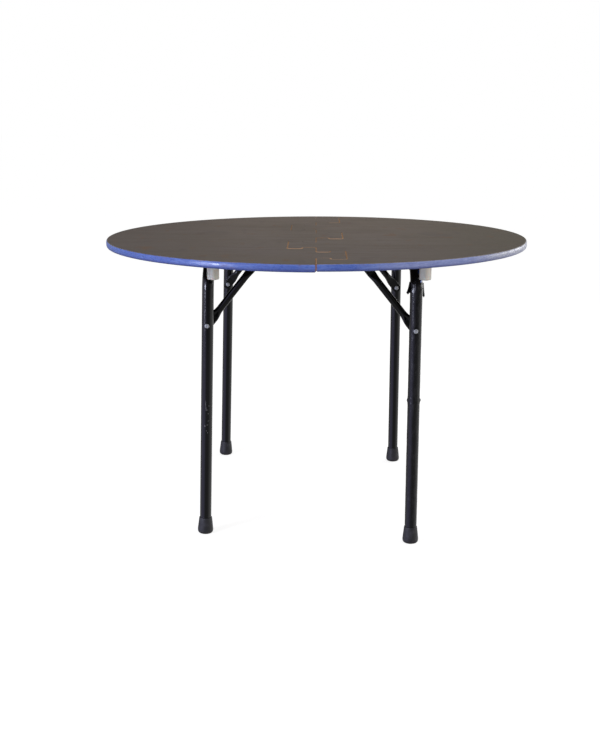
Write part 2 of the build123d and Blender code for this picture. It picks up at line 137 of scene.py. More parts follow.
class BraceSettings(bpy.types.PropertyGroup):
    """Sizes of the braces."""
    diameter: length("Diameter", "Outer diameter of the brace tube", 18 * MM)
    lower_flat: length("Lower flat", "Width of the flattened lower end", 26 * MM)
    upper_flat: length("Upper flat", "Width of the flattened upper end", 22 * MM)
    flat_thickness: length("Flat thickness", "Thickness of the flattened ends", 5 * MM)
    crease: length("Crease", "Depth of the crease where the tube is pressed flat", 2.4 * MM)


class BlockSettings(bpy.types.PropertyGroup):
    """Sizes and colours of the stacking blocks."""
    side: length("Side", "Side of the square block", 25 * MM)
    corner: length("Corner", "Radius of the upright edges", 7 * MM)
    plastic: colour("Plastic", "White plastic gone slightly grey", "#cbcbc8")


class FilmSettings(bpy.types.PropertyGroup):
    """Sizes and colours of the torn film on one leg."""
    radius: length("Radius", "Radius of the film round the tube", 15.3 * MM)
    thickness: length("Thickness", "Thickness of the film", 0.3 * MM)
    low: length("Lower end", "Height of the film's lower end", 48 * MM)
    high: length("Upper end", "Height of the torn upper end", 679 * MM)
    window: length("Window", "Radius of the hole round the rivet", 11 * MM)
    film: colour("Film", "Black polythene", "#0c0c10")


class StageSettings(bpy.types.PropertyGroup):
    """Camera, floor and light."""
    lens: FloatProperty(
        name="Lens", description="Focal length in millimetres", default=53.4, unit="CAMERA")
    camera_place: FloatVectorProperty(
        name="Camera place", description="Where the camera stands",
        default=(-0.001, -3.094, 1.099), unit="LENGTH")
    camera_turn: FloatVectorProperty(
        name="Camera turn", description="Camera's rotation",
        default=(math.radians(76.49), 0, math.radians(0.808)), unit="ROTATION")
    floor_radius: length("Floor radius", "Radius of the pale floor", 40)


SETTINGS = {
    "table_top": TopSettings,
    "table_legs": LegSettings,
    "table_feet": FootSettings,
    "table_braces": BraceSettings,
    "table_blocks": BlockSettings,
    "table_film": FilmSettings,
    "table_stage": StageSettings,
}


# Where the legs, braces and rivets are, read from the frame

JOINTS = {joint["name"]: joint for joint in frame["joints"]}
SIDES = ("left", "right")
ENDS = ("front", "rear")
LEGS = [(end, side) for side in SIDES for end in ENDS]


def pivot(side):
    """Middle of a leg frame's crossbar between its two legs."""
    return Vector(JOINTS[side + "_leg_fold"]["pos_m"])


def rivet(end, side):
    """Where a brace's plane crosses its rivet."""
    return Vector(JOINTS[f"{end}_{side}_brace_swing"]["pos_m"])


def middle_of(node_name):
    """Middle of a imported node's box."""
    low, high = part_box(node_name)
    return (low + high) / 2


def leg_y(end, side):
    """Place along Y of a leg's middle line."""
    return middle_of(f"foot_cap_{end}_{side}").y


def outward(end):
    """Direction along Y from the table's middle to its front or rear legs."""
    return -1 if end == "front" else 1


def leg_matrix(end, side):
    """Frame of a leg: origin where its middle line meets the floor, Z up the leg, X as in the row."""
    knee, spot = pivot(side), rivet("front", side)
    up = knee - spot
    up.y = 0
    up.normalize()
    foot = knee - up * (knee.z / up.z)
    across = Vector((0, 1, 0)).cross(up)
    turn = Matrix((across, Vector((0, 1, 0)), up)).transposed().to_4x4()
    return Matrix.Translation((foot.x, leg_y(end, side), 0)) @ turn


def brace_matrix(end, side):
    """Frame of a brace: origin on its rivet, Z towards its pin, Y out to the leg that it is riveted to."""
    start = rivet(end, side)
    up = middle_of(f"brace_pin_{end}_{side}") - start
    up.y = 0
    up.normalize()
    out = Vector((0, outward(end), 0))
    return Matrix.Translation(start) @ Matrix((out.cross(up), out, up)).transposed().to_4x4()


# Nodes of materials and of Geometry Nodes


def add_node(tree, kind, *values, **named):
    """Adds a node and returns its first live output.

    Values fill the live inputs in order. A name that starts with a capital is an input's, with _ for a
    space, and any other name is a setting's.
    """
    made = tree.nodes.new(kind)
    for name, value in named.items():
        if name[0].islower():
            setattr(made, name, value)
    live = [socket for socket in made.inputs if socket.enabled]
    chosen = list(zip(live, values))
    for name, value in named.items():
        if name[0].isupper():
            chosen.append((next(s for s in live if s.name == name.replace("_", " ")), value))
    for socket, value in chosen:
        if isinstance(value, bpy.types.NodeSocket):
            tree.links.new(value, socket)
        elif value is not None:
            socket.default_value = value
    return next((socket for socket in made.outputs if socket.enabled), None)


def start_material(name):
    """An empty node material, and the function that adds nodes to it."""
    material = bpy.data.materials.new(name)
    material.use_nodes = True
    material.node_tree.nodes.clear()
    return material, functools.partial(add_node, material.node_tree)


def finish_surface(add, relief=None, depth_mm=0.0, strength=0.5, **inputs):
    """Principled shader with these inputs on the material's output, bumped where a relief is given."""
    if relief is not None:
        inputs["Normal"] = add("ShaderNodeBump", Height=relief, Distance=depth_mm * MM, Strength=strength)
    add("ShaderNodeOutputMaterial", Surface=add("ShaderNodeBsdfPrincipled", **inputs))


def object_place(add, *sizes_mm):
    """Object coordinates, divided by a pattern's size on each axis where sizes are given."""
    place = add("ShaderNodeTexCoord").node.outputs["Object"]
    if sizes_mm:
        place = add("ShaderNodeMapping", place, Scale=[grain(size) for size in sizes_mm])
    return place


def overlay(add, base, layers):
    """Colours laid over each other: each layer is a value, its range, its greatest share and its colour."""
    for value, low, high, most, hex_colour in layers:
        share = add("ShaderNodeMapRange", value, low, high, 0.0, most, interpolation_type="SMOOTHSTEP")
        base = add("ShaderNodeMix", share, base, linear(hex_colour), data_type="RGBA")
    return base


# Materials

# Pores, dust, mould texture and grit are finer on the real table. They are drawn about 1 to 2.4 mm wide, so
# that they still show from where the camera stands.


def stained_face(top):
    """Plywood face under a dull water stain: nearly flat, faint grain along X, rubbed and smudged, with a
    painted sheen towards the back and painted shade towards the front and both ends.
    """
    material, add = start_material("stained_plywood_face")
    place = object_place(add)
    along = add("ShaderNodeSeparateXYZ", place)
    across = along.node.outputs["Y"]
    streaks = add("ShaderNodeTexNoise", object_place(add, 260, 24, 20), Scale=1.0, Detail=5.0,
                  Roughness=0.65)
    fibres = add("ShaderNodeTexNoise", object_place(add, 14, 1.6, 4), Scale=1.0, Detail=3.0,
                 Roughness=0.6)
    clouds = add("ShaderNodeTexNoise", place, Scale=grain(210), Detail=3.0, Roughness=0.55)
    rubs = add("ShaderNodeTexNoise", object_place(add, 46, 80, 30), Scale=1.0, Detail=4.0,
               Roughness=0.65)
    smudges = add("ShaderNodeTexNoise", object_place(add, 80, 120, 30), Scale=1.0, Detail=3.0, Roughness=0.6,
                  Distortion=0.6)
    # Painted light: the layers along Y paint a sheen, lighter towards the back and darker towards the front,
    # and the layers along X paint shade that darkens the left and right ends
    tone = overlay(add, top.stain[:], (
        (across, -0.35, 0.45, 0.75, "#696058"),
        (across, -0.1, -0.5, 0.4, "#57504b"),
        (clouds, 0.38, 0.68, 0.7, "#5d564e"),
        (along, 0.1, 0.56, 0.85, "#4f4b41"),
        (along, -0.1, -0.56, 0.6, "#514b47"),
        (streaks, 0.42, 0.70, 0.5, "#524a44"),
        (fibres, 0.38, 0.72, 0.35, "#6d6359"),
        (rubs, 0.58, 0.70, 0.5, "#66503f"),
        (smudges, 0.57, 0.70, 0.25, "#4e4848")))
    # The stain has chipped off beside the saw cut, raggedly and in patches
    ragged = add("ShaderNodeTexNoise", place, Scale=grain(4), Detail=3.0, Roughness=0.7)
    patchy = add("ShaderNodeTexNoise", place, Scale=grain(24), Detail=2.0, Roughness=0.6)
    reach = add("ShaderNodeAttribute", attribute_name="wear_reach").node.outputs["Fac"]
    distance = add("ShaderNodeAttribute", attribute_name="seam_distance").node.outputs["Fac"]
    worn = add("ShaderNodeMath", ragged, 3.0, reach, operation="MULTIPLY_ADD")
    worn = add("ShaderNodeMath", patchy, 2.6, worn, operation="MULTIPLY_ADD")
    worn = add("ShaderNodeMath", worn, distance, operation="SUBTRACT")
    worn = add("ShaderNodeMapRange", worn, 2.5, 4.0, interpolation_type="SMOOTHSTEP")
    some = add("ShaderNodeMapRange", reach, 0.2, 1.0)
    worn = add("ShaderNodeMath", worn, some, operation="MULTIPLY")
    wood = overlay(add, top.bare_wood[:], (
        (ragged, 0.45, 0.7, 0.5, "#86644a"),
        (reach, 3.4, 1.6, 0.65, "#80603f")))
    tone = add("ShaderNodeMix", worn, tone, wood, data_type="RGBA")
    relief = add("ShaderNodeMath", streaks, fibres, operation="ADD")
    finish_surface(add, relief, 0.10, Base_Color=tone, Roughness=0.8, Specular_IOR_Level=0.08)
    return material


def edge_paint(top):
    """Blue enamel brushed on end grain: half gloss, scuffed, with painted shade low on the edge, worn to wood
    along the arris.
    """
    material, add = start_material("blue_edge_enamel")
    place = object_place(add)
    across = add("ShaderNodeSeparateXYZ", place)
    height = across.node.outputs["Z"]
    depth_mm = add("ShaderNodeMath", top.height, height, operation="SUBTRACT")
    depth_mm = add("ShaderNodeMath", depth_mm, MM, operation="DIVIDE")
    clouds = add("ShaderNodeTexNoise", place, Scale=grain(65), Detail=4.0, Roughness=0.6)
    strokes = add("ShaderNodeTexNoise", object_place(add, 26, 26, 3), Scale=1.0, Detail=4.0, Roughness=0.6)
    scuffs = add("ShaderNodeTexNoise", object_place(add, 22, 22, 9), Scale=1.0, Detail=5.0, Roughness=0.7)
    specks = add("ShaderNodeTexNoise", place, Scale=grain(5), Detail=4.0, Roughness=0.75)
    patches = add("ShaderNodeTexNoise", place, Scale=grain(70), Detail=2.0, Roughness=0.5)
    half_mm = top.thickness / 2 / MM
    # From the seam to the right the paint is chalkier, partly from scuffs and partly as a painted sheen, and
    # towards the right end it goes grey as a painted reflection
    tone = overlay(add, top.edge_paint[:], (
        (clouds, 0.40, 0.66, 0.7, "#6079c1"),
        (across, 0.06, 0.24, 0.8, "#8894c5"),
        (across, 0.34, 0.48, 0.7, "#8c8e94"),
        (strokes, 0.42, 0.72, 0.5, "#41519c"),
        # Painted shade: the lower half of the edge is darker
        (depth_mm, half_mm, half_mm * 1.9, 0.75, "#3f4984"),
        (scuffs, 0.56, 0.70, 0.55, "#5e5577")))
    # Stain laps over the arris, and between stain and paint the wood shows in specks
    wander = add("ShaderNodeMath", specks, 1.1, operation="MULTIPLY")
    wander = add("ShaderNodeMath", wander, depth_mm, operation="SUBTRACT")
    band = add("ShaderNodeMath", patches, 4.6, wander, operation="MULTIPLY_ADD")
    # Beside the saw cut the arris is rubbed on the left half and sound on the right one
    distance = add("ShaderNodeAttribute", attribute_name="seam_distance").node.outputs["Fac"]
    near_cut = add("ShaderNodeMapRange", distance, 110.0, 30.0)
    rubbed = add("ShaderNodeMapRange", across, 4 * MM, -4 * MM, -1.0, 0.5)
    band = add("ShaderNodeMath", rubbed, near_cut, band, operation="MULTIPLY_ADD")
    tone = overlay(add, tone, (
        (band, 1.85, 2.3, 0.8, "#93827e"),
        (band, 2.45, 2.9, 0.8, "#a27a5c"),
        (wander, -0.75, -0.25, 1.0, "#5a514c")))
    # Chipped to the wood beside the saw cut
    chip = add("ShaderNodeMath", specks, 6.0, operation="MULTIPLY")
    chip = add("ShaderNodeMath", chip, distance, operation="SUBTRACT")
    tone = overlay(add, tone, ((chip, 0.4, 1.6, 0.9, "#7a5138"),))
    rough = add("ShaderNodeMapRange", scuffs, 0.45, 0.7, 0.26, 0.5)
    finish_surface(add, strokes, 0.25, Base_Color=tone, Roughness=rough, Specular_IOR_Level=0.5)
    return material


def sawn_plies():
    """Sawn plywood: plies of 1.4 mm, every other one dark, dirty in the saw cut."""
    material, add = start_material("sawn_plies")
    place = object_place(add)
    height = add("ShaderNodeSeparateXYZ", place).node.outputs["Z"]
    wave = add("ShaderNodeMath", height, math.pi * grain(1.4), operation="MULTIPLY")
    wave = add("ShaderNodeMath", wave, operation="SINE")
    grime = add("ShaderNodeTexNoise", place, Scale=grain(11), Detail=4.0, Roughness=0.7)
    tone = overlay(add, linear("#8c6446"), (
        (wave, -0.3, 0.3, 0.6, "#5f4130"),
        (grime, 0.4, 0.7, 0.6, "#4d3a30")))
    finish_surface(add, Base_Color=tone, Roughness=0.85, Specular_IOR_Level=0.2)
    return material


def stained_underside(top):
    """Rotary-cut veneer under a thin dark stain, kept dark also as painted shade of the unlit underside: grain
    along X in wandering lines, pores and hand grime.
    """
    material, add = start_material("stained_plywood_underside")
    warp = add("ShaderNodeTexNoise", object_place(add, 800, 200, 200), Scale=1.0, Detail=3.0)
    warp = add("ShaderNodeCombineXYZ", Y=add("ShaderNodeMath", warp, 2.6, operation="MULTIPLY"))
    shifted = add("ShaderNodeVectorMath", object_place(add, 600, 38, 38), warp)
    lines = add("ShaderNodeTexNoise", shifted, Scale=1.0, Detail=6.0, Roughness=0.65)
    pores = add("ShaderNodeTexNoise", object_place(add, 33, 1.1, 1.1), Scale=1.0, Detail=3.0, Roughness=0.7)
    grime = add("ShaderNodeTexNoise", object_place(add), Scale=grain(290), Detail=4.0, Roughness=0.6)
    # The underside's dark tone is partly its stain and partly painted shade of the unlit underside
    tone = overlay(add, top.underside[:], (
        (lines, 0.35, 0.68, 0.9, "#46362b"),
        (pores, 0.55, 0.75, 0.5, "#32261e"),
        (grime, 0.5, 0.75, 0.5, "#3f3832")))
    finish_surface(add, pores, 0.10, 0.6, Base_Color=tone, Roughness=0.7, Specular_IOR_Level=0.25)
    return material


# Marks on the legs, in mm: place across the leg from its middle, height, half width and half height
LEG_SCRATCHES = (
    (-1.5, 357, 0.8, 9), (-1.0, 344, 1.0, 5), (2.5, 341, 3.5, 0.9), (5.5, 331, 1.0, 2.2),
    (3.0, 301, 3.0, 0.8), (-3.5, 298, 2.0, 2.4), (0.5, 285, 1.1, 1.6), (4.0, 280, 1.2, 1.6),
    (7.0, 352, 2.6, 0.6), (6.0, 312, 2.2, 0.6))
BLUE_SMEARS = ((11.5, 684, 3.2, 3.0), (14.0, 690, 1.6, 6.0), (4.5, 708, 1.0, 7.0))
# How far a mark reaches into the leg, and how far its edge wanders
MARK_DEPTH_MM = 30
MARK_WANDER_MM = 3


def marks(add, place, end, side, sizes_mm):
    """Soft-edged marks on the front of one leg, as a share from 0 to 1."""
    leg, tube = leg_matrix(end, side), bpy.context.scene.table_legs.tube_diameter / 2
    found = 0.0
    for x, z, half_width, half_height in sizes_mm:
        spot = leg @ Vector((x * MM, -tube, z * MM))
        offset = add("ShaderNodeVectorMath", place, spot, operation="SUBTRACT")
        sizes = (grain(half_width), grain(MARK_DEPTH_MM), grain(half_height))
        scaled = add("ShaderNodeVectorMath", offset, sizes, operation="MULTIPLY")
        reach = add("ShaderNodeVectorMath", scaled, operation="LENGTH")
        share = add("ShaderNodeMapRange", reach, 1.3, 0.6, interpolation_type="SMOOTHSTEP")
        found = add("ShaderNodeMath", found, share, operation="MAXIMUM")
    return found


def black_enamel(legs, marked=False):
    """Stoved black enamel on steel tube: glossy, very slightly wavy, a little dusty."""
    material, add = start_material("black_stove_enamel" + ("_marked" if marked else ""))
    place = object_place(add)
    wave = add("ShaderNodeTexNoise", place, Scale=grain(17), Detail=2.0)
    dust = add("ShaderNodeTexNoise", place, Scale=grain(2.4), Detail=3.0, Roughness=0.7)
    rub = add("ShaderNodeTexNoise", place, Scale=grain(55), Detail=4.0, Roughness=0.6)
    tone = overlay(add, legs.enamel[:], ((dust, 0.60, 0.80, 0.06, "#56565a"),))
    if marked:
        ragged = add("ShaderNodeTexNoise", place, Scale=grain(5), Detail=3.0, Roughness=0.7)
        ragged = ragged.node.outputs["Color"]
        push = add("ShaderNodeVectorMath", ragged, (0.5, 0.5, 0.5), operation="SUBTRACT")
        pushed = add("ShaderNodeVectorMath", push, (MARK_WANDER_MM * MM,) * 3, place,
                     operation="MULTIPLY_ADD")
        tone = overlay(add, tone, (
            (marks(add, pushed, "front", "left", LEG_SCRATCHES), 0.0, 1.0, 0.5, "#7d7d82"),
            (marks(add, pushed, "front", "right", BLUE_SMEARS), 0.0, 1.0, 0.9, "#3a59b4")))
    rough = add("ShaderNodeMapRange", rub, 0.4, 0.7, 0.13, 0.22)
    finish_surface(add, wave, 0.08, 0.6, Base_Color=tone, Roughness=rough, Specular_IOR_Level=0.45)
    return material


def sprayed_enamel():
    """Enamel of the braces: a deeper black than the legs, glassy, with a little dust."""
    material, add = start_material("black_sprayed_enamel")
    place = object_place(add)
    wave = add("ShaderNodeTexNoise", place, Scale=grain(28), Detail=2.0)
    dust = add("ShaderNodeTexNoise", place, Scale=grain(2.2), Detail=3.0, Roughness=0.7)
    tone = overlay(add, linear("#030304"), ((dust, 0.62, 0.82, 0.04, "#4a4a4e"),))
    rough = add("ShaderNodeMapRange", dust, 0.4, 0.7, 0.07, 0.12)
    finish_surface(add, wave, 0.06, 0.6, Base_Color=tone, Roughness=rough, Specular_IOR_Level=0.42)
    return material


def moulded_rubber(feet):
    """Moulded EPDM rubber: dull dark grey, finely grained, dusty towards the sole."""
    material, add = start_material("moulded_rubber")
    place = object_place(add)
    height = add("ShaderNodeSeparateXYZ", place).node.outputs["Z"]
    grit = add("ShaderNodeTexNoise", place, Scale=grain(1.1), Detail=2.0, Roughness=0.6)
    clouds = add("ShaderNodeTexNoise", place, Scale=grain(15), Detail=4.0, Roughness=0.65)
    tone = overlay(add, feet.rubber[:], (
        (clouds, 0.40, 0.68, 0.7, "#3a3a41"),
        (grit, 0.55, 0.75, 0.25, "#4a4846"),
        (height, 8 * MM, 1 * MM, 0.35, "#544e48")))
    finish_surface(add, grit, 0.06, Base_Color=tone, Roughness=0.5, Specular_IOR_Level=0.4)
    return material


def steel(name, shade, cloud_shade, cloud_mm, grit_mm, roughness, depth_mm, metallic=1.0):
    """Bare or plated steel: a metal whose tone clouds over some millimetres, finely roughened."""
    material, add = start_material(name)
    place = object_place(add)
    clouds = add("ShaderNodeTexNoise", place, Scale=grain(cloud_mm), Detail=4.0, Roughness=0.65)
    grit = add("ShaderNodeTexNoise", place, Scale=grain(grit_mm), Detail=2.0)
    tone = overlay(add, linear(shade), ((clouds, 0.35, 0.7, 1.0, cloud_shade),))
    rough = add("ShaderNodeMapRange", clouds, 0.3, 0.7, roughness, roughness + 0.15)
    finish_surface(add, grit, depth_mm, Base_Color=tone, Metallic=metallic, Roughness=rough)
    return material


def hammered_rivet():
    """Plain steel rivet, hammered and dulled: an even pale grey, greyer at the rim."""
    return steel("hammered_rivet_steel", "#b2b6bc", "#989ca2", 3.3, 2.0, 0.58, 0.04, 0.5)


def zinc_plate():
    """Zinc plated steel: bluish grey and cloudy, dulled by handling."""
    return steel("zinc_plated_steel", "#a4a7ab", "#7f8184", 16, 1.4, 0.38, 0.02)


def blued_spring():
    """Blued spring steel: dark, with a faint temper colour."""
    return steel("blued_spring_steel", "#4a4e5c", "#5d5347", 11, 1.6, 0.40, 0.02)


def moulded_nylon():
    """Moulded nylon pad: dark grey, with a fine mould texture."""
    material, add = start_material("moulded_nylon")
    place = object_place(add)
    clouds = add("ShaderNodeTexNoise", place, Scale=grain(12), Detail=3.0, Roughness=0.6)
    grit = add("ShaderNodeTexNoise", place, Scale=grain(0.9), Detail=2.0)
    tone = overlay(add, linear("#3c3c3e"), ((clouds, 0.35, 0.7, 1.0, "#48484a"),))
    finish_surface(add, grit, 0.03, Base_Color=tone, Roughness=0.55, Specular_IOR_Level=0.4)
    return material


def white_polypropylene(blocks):
    """Moulded polypropylene gone slightly grey: soft gloss, faint scuffs and painted shade along the lower
    edge.
    """
    material, add = start_material("white_polypropylene")
    place = object_place(add)
    height = add("ShaderNodeSeparateXYZ", place).node.outputs["Z"]
    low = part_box("stacking_block_front_left")[0].z
    clouds = add("ShaderNodeTexNoise", place, Scale=grain(14), Detail=4.0, Roughness=0.6)
    grit = add("ShaderNodeTexNoise", place, Scale=grain(1.2), Detail=2.0)
    tone = overlay(add, blocks.plastic[:], (
        (clouds, 0.42, 0.7, 0.4, "#bdbbb6"),
        # Painted shade: darker within 5 mm of the lower edge, where the rounded edge is in shadow
        (height, low + 5 * MM, low, 0.3, "#aeaba5")))
    finish_surface(add, grit, 0.02, 0.4, Base_Color=tone, Roughness=0.42, Specular_IOR_Level=0.45,
                   Subsurface_Weight=0.08, Subsurface_Scale=4 * MM)
    return material


def shrunk_polythene(film):
    """Thin black polythene shrunk on the tube: shiny, finely wrinkled, greyed in patches that are partly
    stretched film and partly a painted sheen.
    """
    material, add = start_material("black_polythene_film")
    wrinkles = add("ShaderNodeTexNoise", object_place(add, 4, 4, 11), Scale=1.0, Detail=4.0, Roughness=0.6,
                   Distortion=0.5)
    stretch_and_sheen = add("ShaderNodeTexNoise", object_place(add, 9, 9, 26), Scale=1.0, Detail=3.0, Roughness=0.6)
    # The grey patches are partly stretched film and partly a painted sheen
    tone = overlay(add, film.film[:], ((stretch_and_sheen, 0.5, 0.75, 0.5, "#2b2b30"),))
    rough = add("ShaderNodeMapRange", stretch_and_sheen, 0.4, 0.7, 0.22, 0.4)
    finish_surface(add, wrinkles, 0.30, 0.6, Base_Color=tone, Roughness=rough, Specular_IOR_Level=0.42)
    return material


# Meshes


def tidy_mesh(mesh, sharp_degrees=35):
    """Merges doubles, points faces outward and shades by angle."""
    work = bmesh.new()
    work.from_mesh(mesh)
    bmesh.ops.remove_doubles(work, verts=work.verts, dist=1e-6)
    bmesh.ops.recalc_face_normals(work, faces=work.faces)
    work.to_mesh(mesh)
    work.free()
    mesh.polygons.foreach_set("use_smooth", [True] * len(mesh.polygons))
    mesh.set_sharp_from_angle(angle=math.radians(sharp_degrees))
    mesh.update()
    return mesh


def build_mesh(name, points, faces, materials=(), face_slots=None, sharp_degrees=35):
    """Tidied mesh of points and faces."""
    mesh = bpy.data.meshes.new(name)
    mesh.from_pydata([tuple(p) for p in points], [], faces)
    for material in materials:
        mesh.materials.append(material)
    if face_slots is not None:
        mesh.polygons.foreach_set("material_index", face_slots)
    return tidy_mesh(mesh, sharp_degrees)


def put_in_scene(name, data):
    """An object for a mesh, lamp or camera, at the origin."""
    holder = bpy.data.objects.new(name, data)
    bpy.context.scene.collection.objects.link(holder)
    return holder


def add_piece(name, mesh, body, slot, *nodes):
    """Puts a mesh in the scene as a finished piece that rides on a body and stands for nodes."""
    piece = put_in_scene(name, mesh)
    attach(piece, body)
    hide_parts(*nodes)


def plain_mesh(holder):
    """An object's mesh with its modifiers applied; the object goes."""
    bpy.context.view_layer.update()
    graph = bpy.context.evaluated_depsgraph_get()
    mesh = bpy.data.meshes.new_from_object(holder.evaluated_get(graph), depsgraph=graph)
    holder.modifiers.clear()
    bpy.data.objects.remove(holder)
    return mesh


def ring_faces(ring_count, ring_size, closed=True):
    """Faces between rings of points that follow each other."""
    faces = []
    for ring in range(ring_count - 1):
        a, b = ring * ring_size, (ring + 1) * ring_size
        for step in range(ring_size if closed else ring_size - 1):
            after = (step + 1) % ring_size
            faces.append((a + step, a + after, b + after, b + step))
    return faces


def in_metres(section_mm, drop=0.0):
    """A section of (radius, height) in mm, turned into metres and moved down."""
    return [(radius * MM, height * MM - drop) for radius, height in section_mm]


def turned_mesh(name, profile, steps, matrix, materials, sharp_degrees=35, reshape=None):
    """Solid of revolution round Z from a profile of (radius, height), set in place by a matrix."""
    points = []
    for radius, height in profile:
        for step in range(steps):
            angle = 2 * math.pi * step / steps
            spot = Vector((radius * math.cos(angle), radius * math.sin(angle), height))
            points.append(matrix @ (reshape(spot) if reshape else spot))
    return build_mesh(name, points, ring_faces(len(profile), steps), materials, sharp_degrees=sharp_degrees)


def smoothstep(value, start, end):
    """0 at start, 1 at end, smooth between."""
    share = min(1.0, max(0.0, (value - start) / (end - start)))
    return share * share * (3 - 2 * share)


# Top

# How far the stain is chipped beside each stretch of the saw cut, in mm, from the rear to the front.
# A tab's place is in pitches from the middle one. Its side is 1 where it reaches to the right.
# Its seven stretches run far neck, far shoulder, far side, end, near side, near shoulder, near neck.
TABS = (
    (2, 1, (0, 0, 0, 1.8, 2.8, 0, 0)),
    (1, -1, (0, 0, 0, 1.6, 0, 0, 0)),
    (0, 1, (0, 0, 0, 2.1, 5.0, 2.4, 2.4)),
    (-1, -1, (0.8, 0, 0, 2.0, 4.4, 2.4, 2.4)),
    (-1.93, 1, (4.2, 1.9, 0, 1.9, 4.4, 2.8, 3.4)),
)
STRAIGHT_WEAR_MM = (1.0, 1.2, 1.3, 1.6, 1.9, 2.1)


def seam_corners(top):
    """Corners of the saw cut from the rear rim to the front, and the wear of each stretch."""
    corners, wear = [(0.0, top.radius)], []
    neck, head = top.neck_width / 2, top.head_width / 2
    for straight, (place, side, tab_wear) in zip(STRAIGHT_WEAR_MM, TABS):
        middle = place * top.tab_pitch + top.tab_shift
        neck_end, head_end = side * top.neck_length, side * top.reach
        corners += [
            (0, middle + neck), (neck_end, middle + neck),
            (neck_end, middle + head), (head_end, middle + head),
            (head_end, middle - head), (neck_end, middle - head),
            (neck_end, middle - neck), (0, middle - neck)]
        wear += [straight, *tab_wear]
    corners.append((0.0, -top.radius))
    wear.append(STRAIGHT_WEAR_MM[-1])
    return [Vector(c) for c in corners], wear


def seam_path(top, spacing=3 * MM, round_steps=6):
    """Middle line of the saw cut as points with their wear, its corners rounded."""
    corners, wear = seam_corners(top)
    path = [(corners[0], wear[0])]
    for i in range(1, len(corners) - 1):
        before, here, after = corners[i - 1], corners[i], corners[i + 1]
        back, on = (before - here).normalized(), (after - here).normalized()
        start, centre = here + back * top.corner, here + (back + on) * top.corner
        last = path[-1][0]
        count = max(1, round((start - last).length / spacing))
        path += [(last.lerp(start, k / count), wear[i - 1]) for k in range(1, count + 1)]
        for k in range(1, round_steps + 1):
            share = k / round_steps
            angle = share * math.pi / 2
            spot = centre - on * top.corner * math.cos(angle) - back * top.corner * math.sin(angle)
            path.append((spot, wear[i - 1] * (1 - share) + wear[i] * share))
    last = path[-1][0]
    count = round((corners[-1] - last).length / spacing)
    return path + [(last.lerp(corners[-1], k / count), wear[-1]) for k in range(1, count + 1)]


def side_normals(points):
    """Unit normals of a path in the plane, towards positive x where it runs towards the front."""
    normals = []
    for i in range(len(points)):
        before, after = points[max(i - 1, 0)], points[min(i + 1, len(points) - 1)]
        along = (after - before).normalized()
        normals.append(Vector((-along.y, along.x)))
    return normals


def flat_radius(top):
    """Radius where the flat faces end and the rounded edge starts."""
    return top.radius - top.crown


def bevel_room(top, spot, run_out=12 * MM):
    """Share of the bevel beside the saw cut: it runs out at the rim."""
    return smoothstep(flat_radius(top) - abs(spot.y), 0, run_out)


def seam_edge(top, path, side, bevel):
    """Edge of one half along the saw cut, moved off the middle line by half the gap and the bevel."""
    points = [spot for spot, wear in path]
    limit, clear_of_rim = flat_radius(top), 1.5 * MM
    gap = top.seam_gap / 2
    edge = []
    for spot, normal in zip(points, side_normals(points)):
        if spot.length < limit - clear_of_rim:
            edge.append(spot + normal * side * (gap + bevel * bevel_room(top, spot)))
    reach = math.sqrt(limit ** 2 - gap ** 2)
    return [Vector((side * gap, reach)), *edge, Vector((side * gap, -reach))]


def rim_ring(top, side, radius, height):
    """Points of a half's rim at one radius and height, from the rear to the front, closer at the saw cut."""
    first, near, steps = math.asin(top.seam_gap / 2 / radius), math.radians(2), 8
    fine = [first + (near - first) * i / steps for i in range(steps)]
    even = [near + (math.pi - 2 * near) * i / top.segments for i in range(top.segments + 1)]
    angles = [*fine, *even, *[math.pi - angle for angle in reversed(fine)]]
    return [Vector((side * radius * math.sin(a), radius * math.cos(a), height)) for a in angles]


def rim_profile(top, steps=16, squareness=2.7):
    """Section of the rim from the flat upper face to the lower one, as (radius, height): a crowned edge."""
    half, middle = top.thickness / 2, top.height - top.thickness / 2
    points = []
    for i in range(steps + 1):
        angle = math.pi / 2 - math.pi * i / steps
        out, up = abs(math.cos(angle)) ** (2 / squareness), abs(math.sin(angle)) ** (2 / squareness)
        height = middle + math.copysign(half * up, math.sin(angle))
        points.append((flat_radius(top) + top.crown * out, height))
    return points


def inside(points, outline):
    """Which points lie inside a closed outline."""
    x, y = points[:, 0], points[:, 1]
    result = np.zeros(len(points), bool)
    for (ax, ay), (bx, by) in zip(outline, np.roll(outline, -1, axis=0)):
        if ay != by:
            result ^= ((ay > y) != (by > y)) & (x < (bx - ax) * (y - ay) / (by - ay) + ax)
    return result


def distance_and_wear(points, path):
    """Distance of each point to the saw cut in mm, and the wear of the nearest stretch."""
    line = np.array([spot for spot, wear in path])
    worn = np.array([wear for spot, wear in path])
    start, along = line[:-1], np.diff(line, axis=0)
    squared = (along ** 2).sum(1)
    distance, wear = np.zeros(len(points)), np.zeros(len(points))
    for i, spot in enumerate(points):
        share = np.clip(((spot - start) * along).sum(1) / squared, 0, 1)
        gaps = ((start + along * share[:, None] - spot) ** 2).sum(1)
        nearest = int(gaps.argmin())
        distance[i] = math.sqrt(gaps[nearest]) / MM
        wear[i] = worn[nearest] * (1 - share[nearest]) + worn[nearest + 1] * share[nearest]
    return distance, wear


